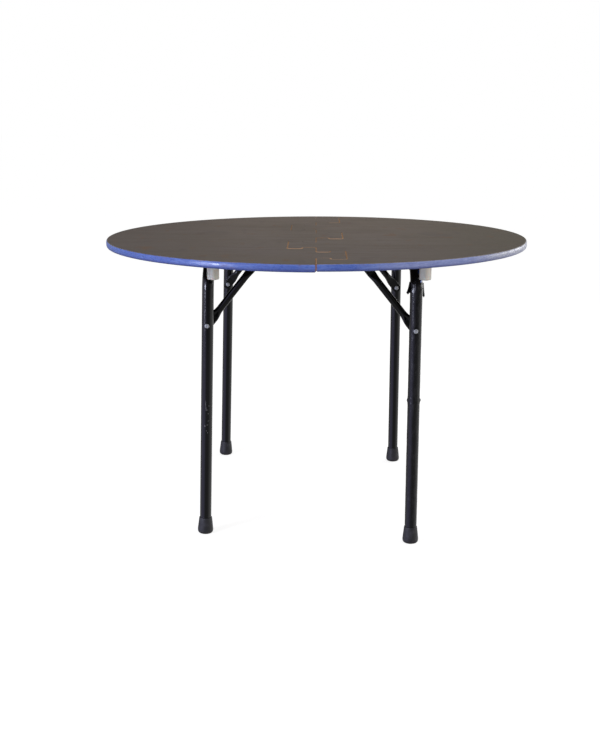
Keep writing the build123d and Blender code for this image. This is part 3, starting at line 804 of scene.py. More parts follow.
def face_points(top, outline, path):
    """Inner points of the upper face: close together beside the saw cut, and a ring inside the rim."""
    step, far_step, clear_of_cut_mm = 5 * MM, 40 * MM, 2.2
    ring_inset, clear_of_rim = 1.5 * MM, 3.5 * MM
    band = top.reach + 20 * MM

    def grid(half_width, gap):
        rows, columns = np.arange(-half_width, half_width, gap), np.arange(-top.radius, top.radius, gap)
        return [(x, y) for x in rows for y in columns]

    wide = [spot for spot in grid(top.radius, far_step) if abs(spot[0]) > band + step]
    spots = np.array(grid(band, step) + wide)
    spots = spots[np.hypot(spots[:, 0], spots[:, 1]) < flat_radius(top) - clear_of_rim]
    angles = np.pi * np.arange(2 * top.segments) / top.segments
    ring = np.stack((np.sin(angles), np.cos(angles)), axis=1) * (flat_radius(top) - ring_inset)
    spots = np.concatenate((spots, ring))
    spots = spots[inside(spots, outline)]
    distance = distance_and_wear(spots, path)[0]
    return spots[distance > clear_of_cut_mm]


def half_outline(top, side, path, bevel):
    """Closed outline of a half's flat face: its rim and its edge along the saw cut."""
    rim = [(p.x, p.y) for p in rim_ring(top, side, flat_radius(top), 0)]
    edge = [(p.x, p.y) for p in seam_edge(top, path, side, bevel)]
    return np.array([*rim, *edge[::-1][1:-1]])


def flat_face(outline, inner, height):
    """Points and triangles of a flat face inside an outline."""
    spots = [Vector(p) for p in [*outline, *inner]]
    made = delaunay_2d_cdt(spots, [], [list(range(len(outline)))], 1, 1e-7)
    return [(p.x, p.y, height) for p in made[0]], [tuple(face) for face in made[2]]


# Material slots of the top, and the angle past which its edges look sharp
FACE, PAINT, PLIES, UNDERSIDE = range(4)
TOP_SHARP_DEGREES = 30


def top_half_mesh(top, side, path, materials):
    """One half of the top as one closed mesh: stained face, painted rim, sawn plies and underside."""
    points, faces, slots = [], [], []

    def take(new_points, new_faces, slot):
        first = len(points)
        points.extend(new_points)
        faces.extend(tuple(first + i for i in face) for face in new_faces)
        slots.extend([slot] * len(new_faces))

    low = top.height - top.thickness
    upper, lower = (half_outline(top, side, path, bevel) for bevel in (top.seam_bevel, 0))
    take(*flat_face(upper, face_points(top, upper, path), top.height), FACE)
    take(*flat_face(lower, [], low), UNDERSIDE)
    rings = [rim_ring(top, side, radius, height) for radius, height in rim_profile(top)]
    for i in range(len(rings) - 1):
        take(rings[i] + rings[i + 1], ring_faces(2, len(rings[0]), closed=False), FACE if i == 0 else PAINT)
    bevelled, plain = (seam_edge(top, path, side, bevel) for bevel in (top.seam_bevel, 0))
    rows = [
        [Vector((p.x, p.y, top.height)) for p in bevelled],
        [Vector((p.x, p.y, top.height - top.seam_bevel * bevel_room(top, p))) for p in plain],
        [Vector((p.x, p.y, low)) for p in plain]]
    take(rows[0] + rows[1], ring_faces(2, len(plain), closed=False), FACE)
    take(rows[1] + rows[2], ring_faces(2, len(plain), closed=False), PLIES)
    for end in (0, -1):
        section = [ring[end] for ring in rings]
        take(section, [tuple(range(len(section)))], PLIES)
    return build_mesh("painted_top", points, faces, materials, slots, TOP_SHARP_DEGREES)


def cut_notch(mesh, top):
    """Cuts the small V at the front end of the saw cut, under the rim."""
    half, rise, depth = 3 * MM, 6 * MM, 14 * MM
    low, front = top.height - top.thickness, -top.radius
    section = [(-half * 1.5, low - rise / 2), (half * 1.5, low - rise / 2), (0, low + rise)]
    points = [(x, y, z) for y in (front - depth, front + depth) for x, z in section]
    faces = [(0, 1, 2), (5, 4, 3), (0, 3, 4, 1), (1, 4, 5, 2), (2, 5, 3, 0)]
    wedge = put_in_scene("wedge", build_mesh("wedge", points, faces, mesh.materials, [PLIES] * len(faces)))
    holder = put_in_scene("half", mesh)
    cut = holder.modifiers.new("notch", "BOOLEAN")
    cut.operation, cut.solver, cut.object = "DIFFERENCE", "EXACT", wedge
    result = plain_mesh(holder)
    bpy.data.objects.remove(wedge)
    return result


def hang_down(mesh, top):
    """Lets the front of a half hang down beside the saw cut."""
    rear, front = 0.66 * top.radius, 0.97 * top.radius
    outer, inner = -0.63 * top.radius, -0.03 * top.radius
    for vertex in mesh.vertices:
        x, y, z = vertex.co
        vertex.co.z = z - top.droop * smoothstep(-y, rear, front) * smoothstep(x, outer, inner)


def add_wear(mesh, path):
    """Writes how far each vertex is from the saw cut, and how far the stain is chipped there, both in mm."""
    spots = np.zeros(len(mesh.vertices) * 3)
    mesh.vertices.foreach_get("co", spots)
    distance, wear = distance_and_wear(spots.reshape(-1, 3)[:, :2], path)
    for name, values in (("seam_distance", distance), ("wear_reach", wear)):
        mesh.attributes.new(name, "FLOAT", "POINT").data.foreach_set("value", values.astype(np.float32))


class TABLE_OT_painted_top(bpy.types.Operator):
    """Builds both halves of the top, locked by their jigsaw tabs"""
    bl_idname = "folding_table.painted_top"
    bl_label = "Painted Top"

    def execute(self, context):
        top = context.scene.table_top
        materials = [stained_face(top), edge_paint(top), sawn_plies(), stained_underside(top)]
        path = seam_path(top)
        for side, name in ((-1, "left"), (1, "right")):
            mesh = cut_notch(top_half_mesh(top, side, path, materials), top)
            add_wear(mesh, path)
            if name == "left":
                hang_down(mesh, top)
            tidy_mesh(mesh, TOP_SHARP_DEGREES)
            add_piece("painted_top_" + name, mesh, "top", "stained_plywood", "top_half_" + name)
        return {"FINISHED"}


# Geometry Nodes trees


def start_tree(name, **inputs):
    """A Geometry Nodes tree with these inputs, the function that adds nodes to it, and its input sockets."""
    tree = bpy.data.node_groups.new(name, "GeometryNodeTree")
    tree.interface.new_socket("Geometry", in_out="INPUT", socket_type="NodeSocketGeometry")
    for label, kind in inputs.items():
        tree.interface.new_socket(label.replace("_", " "), in_out="INPUT", socket_type="NodeSocket" + kind)
    tree.interface.new_socket("Geometry", in_out="OUTPUT", socket_type="NodeSocketGeometry")
    add = functools.partial(add_node, tree)
    return tree, add, add("NodeGroupInput").node.outputs


def close_tree(add, geometry, material):
    """Ends a tree with Realize Instances and Set Material."""
    real = add("GeometryNodeRealizeInstances", geometry)
    add("NodeGroupOutput", add("GeometryNodeSetMaterial", real, Material=material))


def grow(holder, tree, **values):
    """Runs a tree on an object with named input values and returns the plain mesh that it makes."""
    modifier = holder.modifiers.new(tree.name, "NODES")
    modifier.node_group = tree
    inputs = [item for item in tree.interface.items_tree if item.in_out == "INPUT"]
    identifiers = {item.name: item.identifier for item in inputs}
    for name, value in values.items():
        modifier[identifiers[name.replace("_", " ")]] = value
    return plain_mesh(holder)


def bent_tube_tree():
    """Tube that follows the edges it is given, with its corners bent to a radius."""
    tree, add, given = start_tree("Bent Tube", Tube_Radius="Float", Bend_Radius="Float", Bend_Steps="Int",
                                  Sides="Int", Material="Material")
    curve = add("GeometryNodeMeshToCurve", given["Geometry"])
    bent = add("GeometryNodeFilletCurve", curve, mode="POLY", Radius=given["Bend Radius"],
               Count=given["Bend Steps"])
    ring = add("GeometryNodeCurvePrimitiveCircle", Resolution=given["Sides"], Radius=given["Tube Radius"])
    tube = add("GeometryNodeCurveToMesh", bent, ring, Fill_Caps=True)
    close_tree(add, add("GeometryNodeSetShadeSmooth", tube), given["Material"])
    return tree


def fastener_tree():
    """One fastener at each point, turned by the point's own turn."""
    tree, add, given = start_tree("Fasteners On Points", Fastener="Object", Material="Material")
    shape = add("GeometryNodeObjectInfo", Object=given["Fastener"]).node.outputs["Geometry"]
    turn = add("GeometryNodeInputNamedAttribute", "turn", data_type="FLOAT_VECTOR")
    placed = add("GeometryNodeInstanceOnPoints", given["Geometry"], Instance=shape, Rotation=turn)
    close_tree(add, placed, given["Material"])
    return tree


def place_fasteners(name, shape, spots, turns, material, body, slot, *nodes):
    """Instances a fastener's mesh at each spot and adds the result as one piece."""
    points = bpy.data.meshes.new("fastener_points")
    points.from_pydata([tuple(spot) for spot in spots], [], [])
    turn = points.attributes.new("turn", "FLOAT_VECTOR", "POINT")
    turn.data.foreach_set("vector", [angle for angles in turns for angle in angles])
    pattern, holder = put_in_scene("fastener_pattern", shape), put_in_scene("fastener_points", points)
    mesh = grow(holder, fastener_tree(), Fastener=pattern, Material=material)
    bpy.data.objects.remove(pattern)
    add_piece(name, mesh, body, slot, *nodes)


# Leg frames


class TABLE_OT_leg_frames(bpy.types.Operator):
    """Bends the two U-shaped leg frames out of tube"""
    bl_idname = "folding_table.leg_frames"
    bl_label = "Leg Frames"

    def execute(self, context):
        legs, sole = context.scene.table_legs, context.scene.table_feet.sole
        tree, enamel = bent_tube_tree(), black_enamel(legs, marked=True)
        for side in SIDES:
            knee = pivot(side)
            feet = [leg_matrix(end, side) @ Vector((0, 0, sole)) for end in ENDS]
            knees = [Vector((knee.x, leg_y(end, side), knee.z)) for end in ENDS]
            line = bpy.data.meshes.new("leg_line")
            line.from_pydata([feet[0], knees[0], knees[1], feet[1]], [(0, 1), (1, 2), (2, 3)], [])
            tube = grow(put_in_scene("leg_line", line), tree, Tube_Radius=legs.tube_diameter / 2,
                        Bend_Radius=legs.bend_radius, Bend_Steps=24, Sides=64, Material=enamel)
            add_piece("enamel_leg_frame_" + side, tube, side + "_legs", "black_enamel", "leg_frame_" + side)
        return {"FINISHED"}


# Foot caps

# Section of a cap from the middle of its sole up to its lip, in mm: radius and height along the leg
CAP_OUTSIDE_MM = (
    (0, 0), (12, 0), (14.8, 0.3), (17.4, 1.5), (19.3, 3.8), (20.2, 6.6), (20.45, 9.5), (20.2, 13),
    (19.4, 21), (18.4, 30), (17.5, 38), (17.15, 41), (17.0, 42.4), (16.7, 43.4), (16.1, 44), (15.5, 43.9))
CAP_BORE_TOP = 42.8 * MM
CAP_FIT = 0.05 * MM


def cap_profile(feet, tube_diameter):
    """Section of a cap round its outside and down its bore, as (radius, height along the leg)."""
    bore = tube_diameter / 2 + CAP_FIT
    return [*in_metres(CAP_OUTSIDE_MM), (bore, CAP_BORE_TOP), (bore, feet.sole), (0, feet.sole)]


class TABLE_OT_foot_caps(bpy.types.Operator):
    """Turns the four rubber caps on the feet"""
    bl_idname = "folding_table.foot_caps"
    bl_label = "Foot Caps"

    def execute(self, context):
        feet = context.scene.table_feet
        rubber, profile = moulded_rubber(feet), cap_profile(feet, context.scene.table_legs.tube_diameter)
        for end, side in LEGS:
            mesh = turned_mesh("rubber_foot", profile, 72, leg_matrix(end, side), [rubber], 40)
            for vertex in mesh.vertices:
                vertex.co.z = max(vertex.co.z, 0.0)
            add_piece(f"rubber_foot_{end}_{side}", mesh, side + "_legs", "dark_rubber",
                      f"foot_cap_{end}_{side}")
        return {"FINISHED"}


# Braces

ROUND_STEPS = 12
FLAT_STEPS = 8


def flattened_section(width, thick, crease):
    """Section of a flattened tube: two half rounds joined by flats, the one at +Y creased in its middle."""
    half_flat = max(width - thick, 0.3 * MM) / 2
    points = []
    for side in (1, -1):
        for i in range(ROUND_STEPS + 1):
            angle = math.pi * (i / ROUND_STEPS - 0.5)
            out, up = thick / 2 * math.cos(angle), thick / 2 * math.sin(angle)
            points.append((side * (half_flat + out), side * up))
        for i in range(1, FLAT_STEPS):
            share = 1 - 2 * i / FLAT_STEPS
            sunk = crease * (1 - abs(share)) if side > 0 else 0
            points.append((side * half_flat * share, side * thick / 2 - sunk))
    return points


def brace_rows(brace, run):
    """Rows of a brace from its lower nose to its upper one: place, width, thickness, shift, crease."""
    tube, flat = brace.diameter, brace.flat_thickness
    low, high = brace.lower_flat / 2, brace.upper_flat / 2
    pressed = (tube - flat) / 2
    low_flat, high_flat, taper, crease_share = 20 * MM, 18 * MM, 30 * MM, 0.8
    nose_steps, taper_steps, tube_steps = 9, 10, 10
    nose = [math.pi / 2 * i / nose_steps for i in range(1, nose_steps)]
    taper_shares = [i / taper_steps for i in range(taper_steps + 1)]
    rows = [(-low * math.cos(a), max(2 * low * math.sin(a), flat), flat, pressed, 0) for a in nose]
    for share in taper_shares:
        eased = smoothstep(share, 0, 1)
        crease = brace.crease * math.sin(math.pi * min(1, share / crease_share)) ** 2
        rows.append((low_flat + taper * share, 2 * low + (tube - 2 * low) * eased,
                     flat + (tube - flat) * eased, pressed * (1 - eased), crease))
    round_low, round_high = low_flat + taper, run - high_flat - taper
    for i in range(1, tube_steps):
        rows.append((round_low + (round_high - round_low) * i / tube_steps, tube, tube, 0, 0))
    for share in taper_shares:
        eased = smoothstep(share, 0, 1)
        rows.append((round_high + taper * share, tube + (2 * high - tube) * eased,
                     tube + (flat - tube) * eased, 0, 0))
    rows += [(run + high * math.cos(a), max(2 * high * math.sin(a), flat), flat, 0, 0)
             for a in reversed(nose)]
    return rows


def brace_mesh(brace, run, matrix, material):
    """Round tube with both ends pressed flat, set in place by a matrix whose Y points at the leg."""
    rows = brace_rows(brace, run)
    points = []
    for place, width, thick, shift, crease in rows:
        section = flattened_section(width, thick, crease)
        points += [matrix @ Vector((x, y + shift, place)) for x, y in section]
    size = len(points) // len(rows)
    faces = ring_faces(len(rows), size)
    faces += [tuple(reversed(range(size))), tuple(range(len(points) - size, len(points)))]
    return build_mesh("crimped_brace", points, faces, [material], sharp_degrees=50)


class TABLE_OT_braces(bpy.types.Operator):
    """Presses and places the four braces"""
    bl_idname = "folding_table.braces"
    bl_label = "Braces"

    def execute(self, context):
        brace, enamel = context.scene.table_braces, sprayed_enamel()
        for end, side in LEGS:
            reach = middle_of(f"brace_pin_{end}_{side}") - rivet(end, side)
            run = math.hypot(reach.x, reach.z)
            mesh = brace_mesh(brace, run, brace_matrix(end, side), enamel)
            add_piece(f"crimped_brace_{end}_{side}", mesh, f"{end}_{side}_brace", "black_enamel",
                      f"brace_{end}_{side}")
        return {"FINISHED"}


# Rivets and screws

# Sections in mm, radius and height, along the fastener's own axis
RIVET_HEAD_MM = (
    (0, 2.7), (1.3, 2.65), (2.1, 3.0), (2.6, 3.5), (3.2, 3.7), (4.3, 3.3), (5.3, 2.4), (5.8, 1.2),
    (5.9, 0), (5.9, -0.9), (4, -0.9))
RIVET_TAIL_MM = ((4, 0), (6.25, 0), (6.0, -1.2), (5.0, -2.4), (3.2, -3.5), (0, -4))
SCREW_MM = (
    (0, -1.4), (0.9, -1.5), (1.3, -2.35), (2.6, -2.2), (3.5, -1.7), (3.9, -1.0), (4, 0), (1.9, 0),
    (1.9, 4))
SCREW_HEAD = 2.4 * MM
SCREW_SEED = 5


def rivet_mesh(span):
    """One rivet along Z: a dimpled dome at the top, its shank, and a low dome below."""
    profile = in_metres(RIVET_HEAD_MM) + in_metres(RIVET_TAIL_MM, drop=span)
    return turned_mesh("rivet", profile, 40, Matrix.Identity(4), [])


def cross_recess(spot, inner=0.5 * MM, outer=1.5 * MM, depth=2 * MM, arm=0.7):
    """Widens the recess of a screw head, its ring of points between two radii, into a cross."""
    reach, angle = math.hypot(spot.x, spot.y), math.atan2(spot.y, spot.x)
    if inner < reach < outer and spot.z < -depth:
        widening = 1 + arm * abs(math.cos(2 * angle)) ** 3
        spot = Vector((spot.x * widening, spot.y * widening, spot.z))
    return spot


def screw_spots(node_name):
    """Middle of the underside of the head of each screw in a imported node, its parts found by their links."""
    work = bmesh.new()
    work.from_mesh(frame["nodes"][node_name].data)
    bmesh.ops.remove_doubles(work, verts=work.verts, dist=1e-6)
    left, spots = set(work.verts), []
    while left:
        queue, found = [left.pop()], []
        while queue:
            vertex = queue.pop()
            found.append(vertex.co.copy())
            for edge in vertex.link_edges:
                other = edge.other_vert(vertex)
                if other in left:
                    left.remove(other)
                    queue.append(other)
        xs, ys = [p.x for p in found], [p.y for p in found]
        low = min(p.z for p in found)
        spots.append(Vector(((min(xs) + max(xs)) / 2, (min(ys) + max(ys)) / 2, low + SCREW_HEAD)))
    work.free()
    return sorted(spots, key=lambda p: (round(p.x, 4), round(p.y, 4)))


class TABLE_OT_rivets(bpy.types.Operator):
    """Sets the four dome rivets through legs and braces"""
    bl_idname = "folding_table.rivets"
    bl_label = "Rivets"

    def execute(self, context):
        brace, tube = context.scene.table_braces, context.scene.table_legs.tube_diameter / 2
        rivet_steel = hammered_rivet()
        for side in SIDES:
            spots = [Vector((rivet(end, side).x, leg_y(end, side) + outward(end) * tube, rivet(end, side).z))
                     for end in ENDS]
            turns = [(-outward(end) * math.pi / 2, 0, 0) for end in ENDS]
            brace_gap = abs(leg_y("front", side) - rivet("front", side).y) - brace.diameter / 2
            span = tube + brace_gap + brace.flat_thickness
            nodes = [f"brace_rivet_{end}_{side}" for end in ENDS]
            place_fasteners("dome_rivets_" + side, rivet_mesh(span), spots, turns, rivet_steel,
                            side + "_legs", "rivet_steel", *nodes)
        return {"FINISHED"}


class TABLE_OT_screws(bpy.types.Operator):
    """Drives the screws of plates, bearings, catches and blocks"""
    bl_idname = "folding_table.screws"
    bl_label = "Screws"

    def execute(self, context):
        nodes = ("splice_screws", "bearing_screws_left", "bearing_screws_right",
                 "catch_screws_left", "catch_screws_right", "block_screws")
        shape = turned_mesh("screw", in_metres(SCREW_MM), 24, Matrix.Identity(4), [], 40, cross_recess)
        spots = [spot for name in nodes for spot in screw_spots(name)]
        chance = random.Random(SCREW_SEED)
        turns = [(0, 0, chance.uniform(0, math.pi)) for spot in spots]
        place_fasteners("pan_head_screws", shape, spots, turns, zinc_plate(), "top", "zinc_steel", *nodes)
        return {"FINISHED"}


# Stacking blocks

# How far the blocks are turned about the upright, anticlockwise seen from above
BLOCK_TURN_DEGREES = -37


def rounded_square(half, radius, steps=6):
    """Points round a square with rounded corners, anticlockwise from +X."""
    points = []
    for quarter in range(4):
        corner = math.radians(45 + 90 * quarter)
        reach = (half - radius) * math.sqrt(2)
        for i in range(steps + 1):
            angle = math.radians(90 * (quarter + i / steps))
            points.append((reach * math.cos(corner) + radius * math.cos(angle),
                           reach * math.sin(corner) + radius * math.sin(angle)))
    return points


def block_mesh(blocks, matrix, tall, material):
    """Plastic block that hangs from its matrix: rounded lower edges, and a deep screw hole from below."""
    half, corner, edge = blocks.side / 2, blocks.corner, 3 * MM
    hole, hole_depth, lip, edge_steps = 5 * MM, 14 * MM, 0.4 * MM, 6
    rings = [[(x, y, 0) for x, y in rounded_square(half, corner)]]
    for i in range(edge_steps + 1):
        angle = math.pi / 2 * i / edge_steps
        inset = edge * (1 - math.cos(angle))
        rings.append([(x, y, edge - tall - edge * math.sin(angle))
                      for x, y in rounded_square(half - inset, corner - inset)])
    angles = [math.atan2(y, x) for x, y in rounded_square(half, corner)]
    for radius, height in ((hole + lip, -tall), (hole, lip - tall), (hole, hole_depth - tall)):
        rings.append([(radius * math.cos(a), radius * math.sin(a), height) for a in angles])
    size = len(rings[0])
    points = [matrix @ Vector(spot) for ring in rings for spot in ring]
    faces = ring_faces(len(rings), size)
    faces += [tuple(range(size)), tuple(range(len(points) - size, len(points)))]
    return build_mesh("white_block", points, faces, [material], sharp_degrees=40)


class TABLE_OT_blocks(bpy.types.Operator):
    """Moulds the four stacking blocks"""
    bl_idname = "folding_table.blocks"
    bl_label = "Stacking Blocks"

    def execute(self, context):
        blocks = context.scene.table_blocks
        plastic = white_polypropylene(blocks)
        turn = Matrix.Rotation(math.radians(BLOCK_TURN_DEGREES), 4, "Z")
        for end, side in LEGS:
            node_name = f"stacking_block_{end}_{side}"
            low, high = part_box(node_name)
            middle = middle_of(node_name)
            matrix = Matrix.Translation((middle.x, middle.y, high.z)) @ turn
            mesh = block_mesh(blocks, matrix, high.z - low.z, plastic)
            add_piece(f"white_block_{end}_{side}", mesh, "top", "white_plastic", node_name)
        return {"FINISHED"}


# Film

# Creases of the film. Direction round the leg and half width are in degrees, 0 to the right and 90 to
# the front. Height, half height, slant over the half width and depth are in mm.
FILM_CREASES = (
    (180, 30, 381, 4.2, 0, 2.2), (-8, 24, 381.5, 3.6, 0, 3.0), (60, 150, 386, 2.2, 3, 0.5),
    (120, 150, 374, 2.5, -3, 0.4), (140, 24, 131, 2.4, -9, 0.9), (100, 40, 117, 2.6, 4, 0.6),
    (120, 26, 675, 3.0, 5, 1.5), (62, 24, 673, 3.2, -5, 1.6), (20, 30, 668, 4.0, -4, 1.2),
    (92, 14, 664, 8.0, 3, 0.8), (48, 13, 661, 7.0, -3, 0.9), (150, 20, 662, 5.0, 4, 0.9))
# Flaps of the film that stand off the leg, at root and tip: direction of the inner and the outer edge in
# degrees, height in mm, and how far the inner and the outer edge stand off in mm
FILM_FLAPS = (
    ((178, 172, 683, 0, 1.6), (192, 178, 653, 0.4, 9.6)),
    ((2, -6, 680, 0, 3.4), (-4, 5, 645, 0.8, 5.4)))
FILM_RIPPLE_MM = 0.1
FILM_TEAR = 25 * MM
FILM_SHARP_DEGREES = 60


def bump(value, middle, width):
    """Smooth hump of height 1."""
    return math.exp(-((value - middle) / width) ** 2)


def film_spot(leg, bend_start, bend_radius, angle, radius, height):
    """Point of the film at a direction, radius and height along a leg that bends back above bend_start."""
    bend = max(0.0, height - bend_start) / bend_radius
    back, up = bend_radius * (1 - math.cos(bend)), bend_radius * math.sin(bend)
    middle = Vector((0, back, min(height, bend_start) + up))
    front = Vector((0, -math.cos(bend), math.sin(bend)))
    return leg @ (middle + Vector((radius * math.cos(angle), 0, 0)) + front * radius * math.sin(angle))


def film_radius(film, angle, height):
    """Radius of the film: small ripples all over, and creases where it has slipped."""
    z = height / MM
    ripple = math.sin(5 * angle + z * 0.11) * math.sin(z * 0.23 + 2 * angle)
    ripple += math.sin(9 * angle - z * 0.07) * 0.6
    radius = film.radius / MM + FILM_RIPPLE_MM * ripple
    for direction, half_width, middle, half_height, slant, depth in FILM_CREASES:
        turn = (math.degrees(angle) - direction + 180) % 360 - 180
        line = middle + slant * turn / half_width
        radius += depth * bump(turn, 0, half_width) * bump(z, line, half_height)
    return radius * MM


def film_sleeve(film, place, rivet_height, steps=72, spacing=2 * MM):
    """Points and faces of the sleeve of film, with a torn upper edge and a hole round the rivet."""
    count = round((film.high - film.low) / spacing)
    points = []
    for row in range(count + 1):
        height = film.low + (film.high - film.low) * row / count
        torn_share = smoothstep(height, film.high - FILM_TEAR, film.high) * MM
        for step in range(steps):
            angle = 2 * math.pi * step / steps
            torn = 3.5 * math.sin(4 * angle + 1) + 2.5 * math.sin(11 * angle)
            torn += 1.6 * math.sin(23 * angle + 2)
            points.append(place(angle, film_radius(film, angle, height), height + torn * torn_share))
    axis_x = place(math.pi / 2, 0, rivet_height).x
    faces = []
    for face in ring_faces(count + 1, steps):
        middle = sum((points[i] for i in face), Vector()) / len(face)
        if math.hypot(middle.x - axis_x, middle.z - rivet_height) > film.window:
            faces.append(face)
    return points, faces


def film_flap(film, place, root, tip, rows=12, columns=6, curl_degrees=7, ragged_mm=2):
    """Points and faces of a loose flap of film that stands off the leg between its root and its tip."""
    points = []
    for row in range(rows + 1):
        share = row / rows
        inner_angle, outer_angle, height, inner, outer = (a + (b - a) * share for a, b in zip(root, tip))
        for column in range(columns + 1):
            across = column / columns
            curl = curl_degrees * math.sin(math.pi * across + 3 * share)
            angle = math.radians(inner_angle + (outer_angle - inner_angle) * across + curl)
            ragged = ragged_mm * math.sin(7 * across + 1) * smoothstep(share, 0.6, 1)
            radius = film.radius + (inner + (outer - inner) * across) * MM
            points.append(place(angle, radius, (height + ragged) * MM))
    return points, ring_faces(rows + 1, columns + 1, closed=False)


class TABLE_OT_film(bpy.types.Operator):
    """Wraps the torn film round the front right leg"""
    bl_idname = "folding_table.film"
    bl_label = "Torn Film"

    def execute(self, context):
        film, bend_radius = context.scene.table_film, context.scene.table_legs.bend_radius
        leg, bend_start = leg_matrix("front", "right"), pivot("right").z - bend_radius
        place = functools.partial(film_spot, leg, bend_start, bend_radius)
        parts = [film_sleeve(film, place, rivet("front", "right").z)]
        parts += [film_flap(film, place, root, tip) for root, tip in FILM_FLAPS]
        points, faces = [], []
        for part_points, part_faces in parts:
            faces += [tuple(i + len(points) for i in face) for face in part_faces]
            points += part_points
        wrapped = build_mesh("torn_film", points, faces, [shrunk_polythene(film)], None, FILM_SHARP_DEGREES)
        holder = put_in_scene("film", wrapped)
        thick = holder.modifiers.new("thickness", "SOLIDIFY")
        thick.thickness, thick.offset = film.thickness, 0
        mesh = tidy_mesh(plain_mesh(holder), FILM_SHARP_DEGREES)
        add_piece("torn_film_front_right", mesh, "right_legs", "black_film", "film_sleeve_front_right")
        return {"FINISHED"}


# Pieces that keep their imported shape


class TABLE_OT_hardware(bpy.types.Operator):
    """Finishes the bearings, catches, springs, pins, spacers and splice plates"""
    bl_idname = "folding_table.hardware"
    bl_label = "Hardware"

    def execute(self, context):
        zinc = zinc_plate()
        finishes = {
            "bearing_pad": moulded_nylon(), "bearing_strap": zinc, "brace_pin": hammered_rivet(),
            "brace_spacer": black_enamel(context.scene.table_legs), "catch_bracket": zinc,
            "catch_spring": blued_spring(), "splice_plate": zinc}
        for name, node in frame["nodes"].items():
            for start, material in finishes.items():
                if name.startswith(start):
                    node.data.materials[0] = material
        return {"FINISHED"}


# Stage

# What gloss sees of the room, where white is 1: its front above the floor and on it, and the share of that
# which is left far off, the backdrop and its shaded left corner, the light on the left, and the floor from
# steeply above.
FRONT_GLOW, FLOOR_FRONT_GLOW, FAR_FRONT_SHARE = 0.12, 0.27, 0.44
BACK_GLOW, CORNER_GLOW = 0.95, 0.3
LEFT_GLOW, LEFT_TINT = 1.2, "#cfccf6"
STEEP_GLOW = linear("#959595")
# The floor: its own light, the shade that the table's shadow darkens, and its shade as dull surfaces see it.
# Then the even light that the world throws on dull surfaces, where white is 1 too.
FLOOR_LIGHT, FLOOR_SHADED, FLOOR_DULL = 0.82, linear("#a2a2a2"), linear("#959595")
AMBIENT = 0.5
WHITE = linear("#ffffff")


def room_glow(add):
    """What gloss sees: a white backdrop with a shaded left corner, blue light on the left, a dim front."""
    direction = add("ShaderNodeTexCoord").node.outputs["Generated"]
    rise = add("ShaderNodeSeparateXYZ", direction).node.outputs["Z"]
    flat = add("ShaderNodeVectorMath", direction, (1, 1, 0), operation="MULTIPLY")
    level = add("ShaderNodeVectorMath", flat, operation="NORMALIZE")
    forward = add("ShaderNodeVectorMath", level, (0, -1, 0), operation="DOT_PRODUCT")
    leftward = add("ShaderNodeVectorMath", level, (-0.87, -0.5, 0), operation="DOT_PRODUCT")
    corner = add("ShaderNodeVectorMath", level, (-0.6, 0.8, 0), operation="DOT_PRODUCT")
    front = add("ShaderNodeMapRange", rise, 0.0, -0.01, FRONT_GLOW, FLOOR_FRONT_GLOW)
    back = add("ShaderNodeMapRange", corner, 0.72, 0.93, BACK_GLOW, CORNER_GLOW,
               interpolation_type="SMOOTHSTEP")
    white = add("ShaderNodeMapRange", forward, 0.9, 0.05, front, back, interpolation_type="SMOOTHSTEP")
    blue = add("ShaderNodeMapRange", leftward, 0.62, 1.0, interpolation_type="SMOOTHSTEP")
    tint = add("ShaderNodeVectorMath", linear(LEFT_TINT)[:3], Scale=LEFT_GLOW, operation="SCALE")
    room = add("ShaderNodeMix", blue, white, tint, data_type="RGBA")
    steep = add("ShaderNodeMapRange", rise, -0.4, -0.65)
    return add("ShaderNodeMix", steep, room, STEEP_GLOW, data_type="RGBA")


def floor_material():
    """Pale studio floor: white to the camera, with the table's shadow. Gloss sees the room through it."""
    material, add = start_material("studio_floor")
    rays = add("ShaderNodeLightPath").node.outputs
    clear = add("ShaderNodeMath", rays["Is Camera Ray"], rays["Is Transmission Ray"], operation="MAXIMUM")
    shaded = add("ShaderNodeBsdfDiffuse", FLOOR_SHADED)
    white = add("ShaderNodeAddShader", add("ShaderNodeEmission", WHITE, FLOOR_LIGHT), shaded)
    dull = add("ShaderNodeBsdfDiffuse", FLOOR_DULL)
    above = add("ShaderNodeMixShader", clear, dull, white)
    # The far floor in front dims what is seen through it, and from below the floor isn't there
    across = add("ShaderNodeSeparateXYZ", object_place(add)).node.outputs["Y"]
    dim = add("ShaderNodeMapRange", across, -4.5, -2.2, FAR_FRONT_SHARE, 1.0,
              interpolation_type="SMOOTHSTEP")
    below = add("ShaderNodeNewGeometry").node.outputs["Backfacing"]
    open_to = add("ShaderNodeMath", rays["Is Glossy Ray"], below, operation="MAXIMUM")
    passed = add("ShaderNodeBsdfTransparent", dim)
    add("ShaderNodeOutputMaterial", Surface=add("ShaderNodeMixShader", open_to, above, passed))
    return material


def studio_world():
    """Even pale surroundings that light the table, white to the camera, and the room's glow in gloss."""
    world = bpy.data.worlds.new("studio")
    world.use_nodes = True
    world.node_tree.nodes.clear()
    add = functools.partial(add_node, world.node_tree)
    rays = add("ShaderNodeLightPath").node.outputs
    ambient = add("ShaderNodeBackground", WHITE, AMBIENT)
    glow = add("ShaderNodeBackground", room_glow(add), 1.0)
    white = add("ShaderNodeBackground", WHITE, 1.0)
    clear = add("ShaderNodeMath", rays["Is Camera Ray"], rays["Is Transmission Ray"], operation="MAXIMUM")
    mirrored = add("ShaderNodeMixShader", rays["Is Glossy Ray"], ambient, glow)
    add("ShaderNodeOutputWorld", Surface=add("ShaderNodeMixShader", clear, mirrored, white))
    bpy.context.scene.world = world


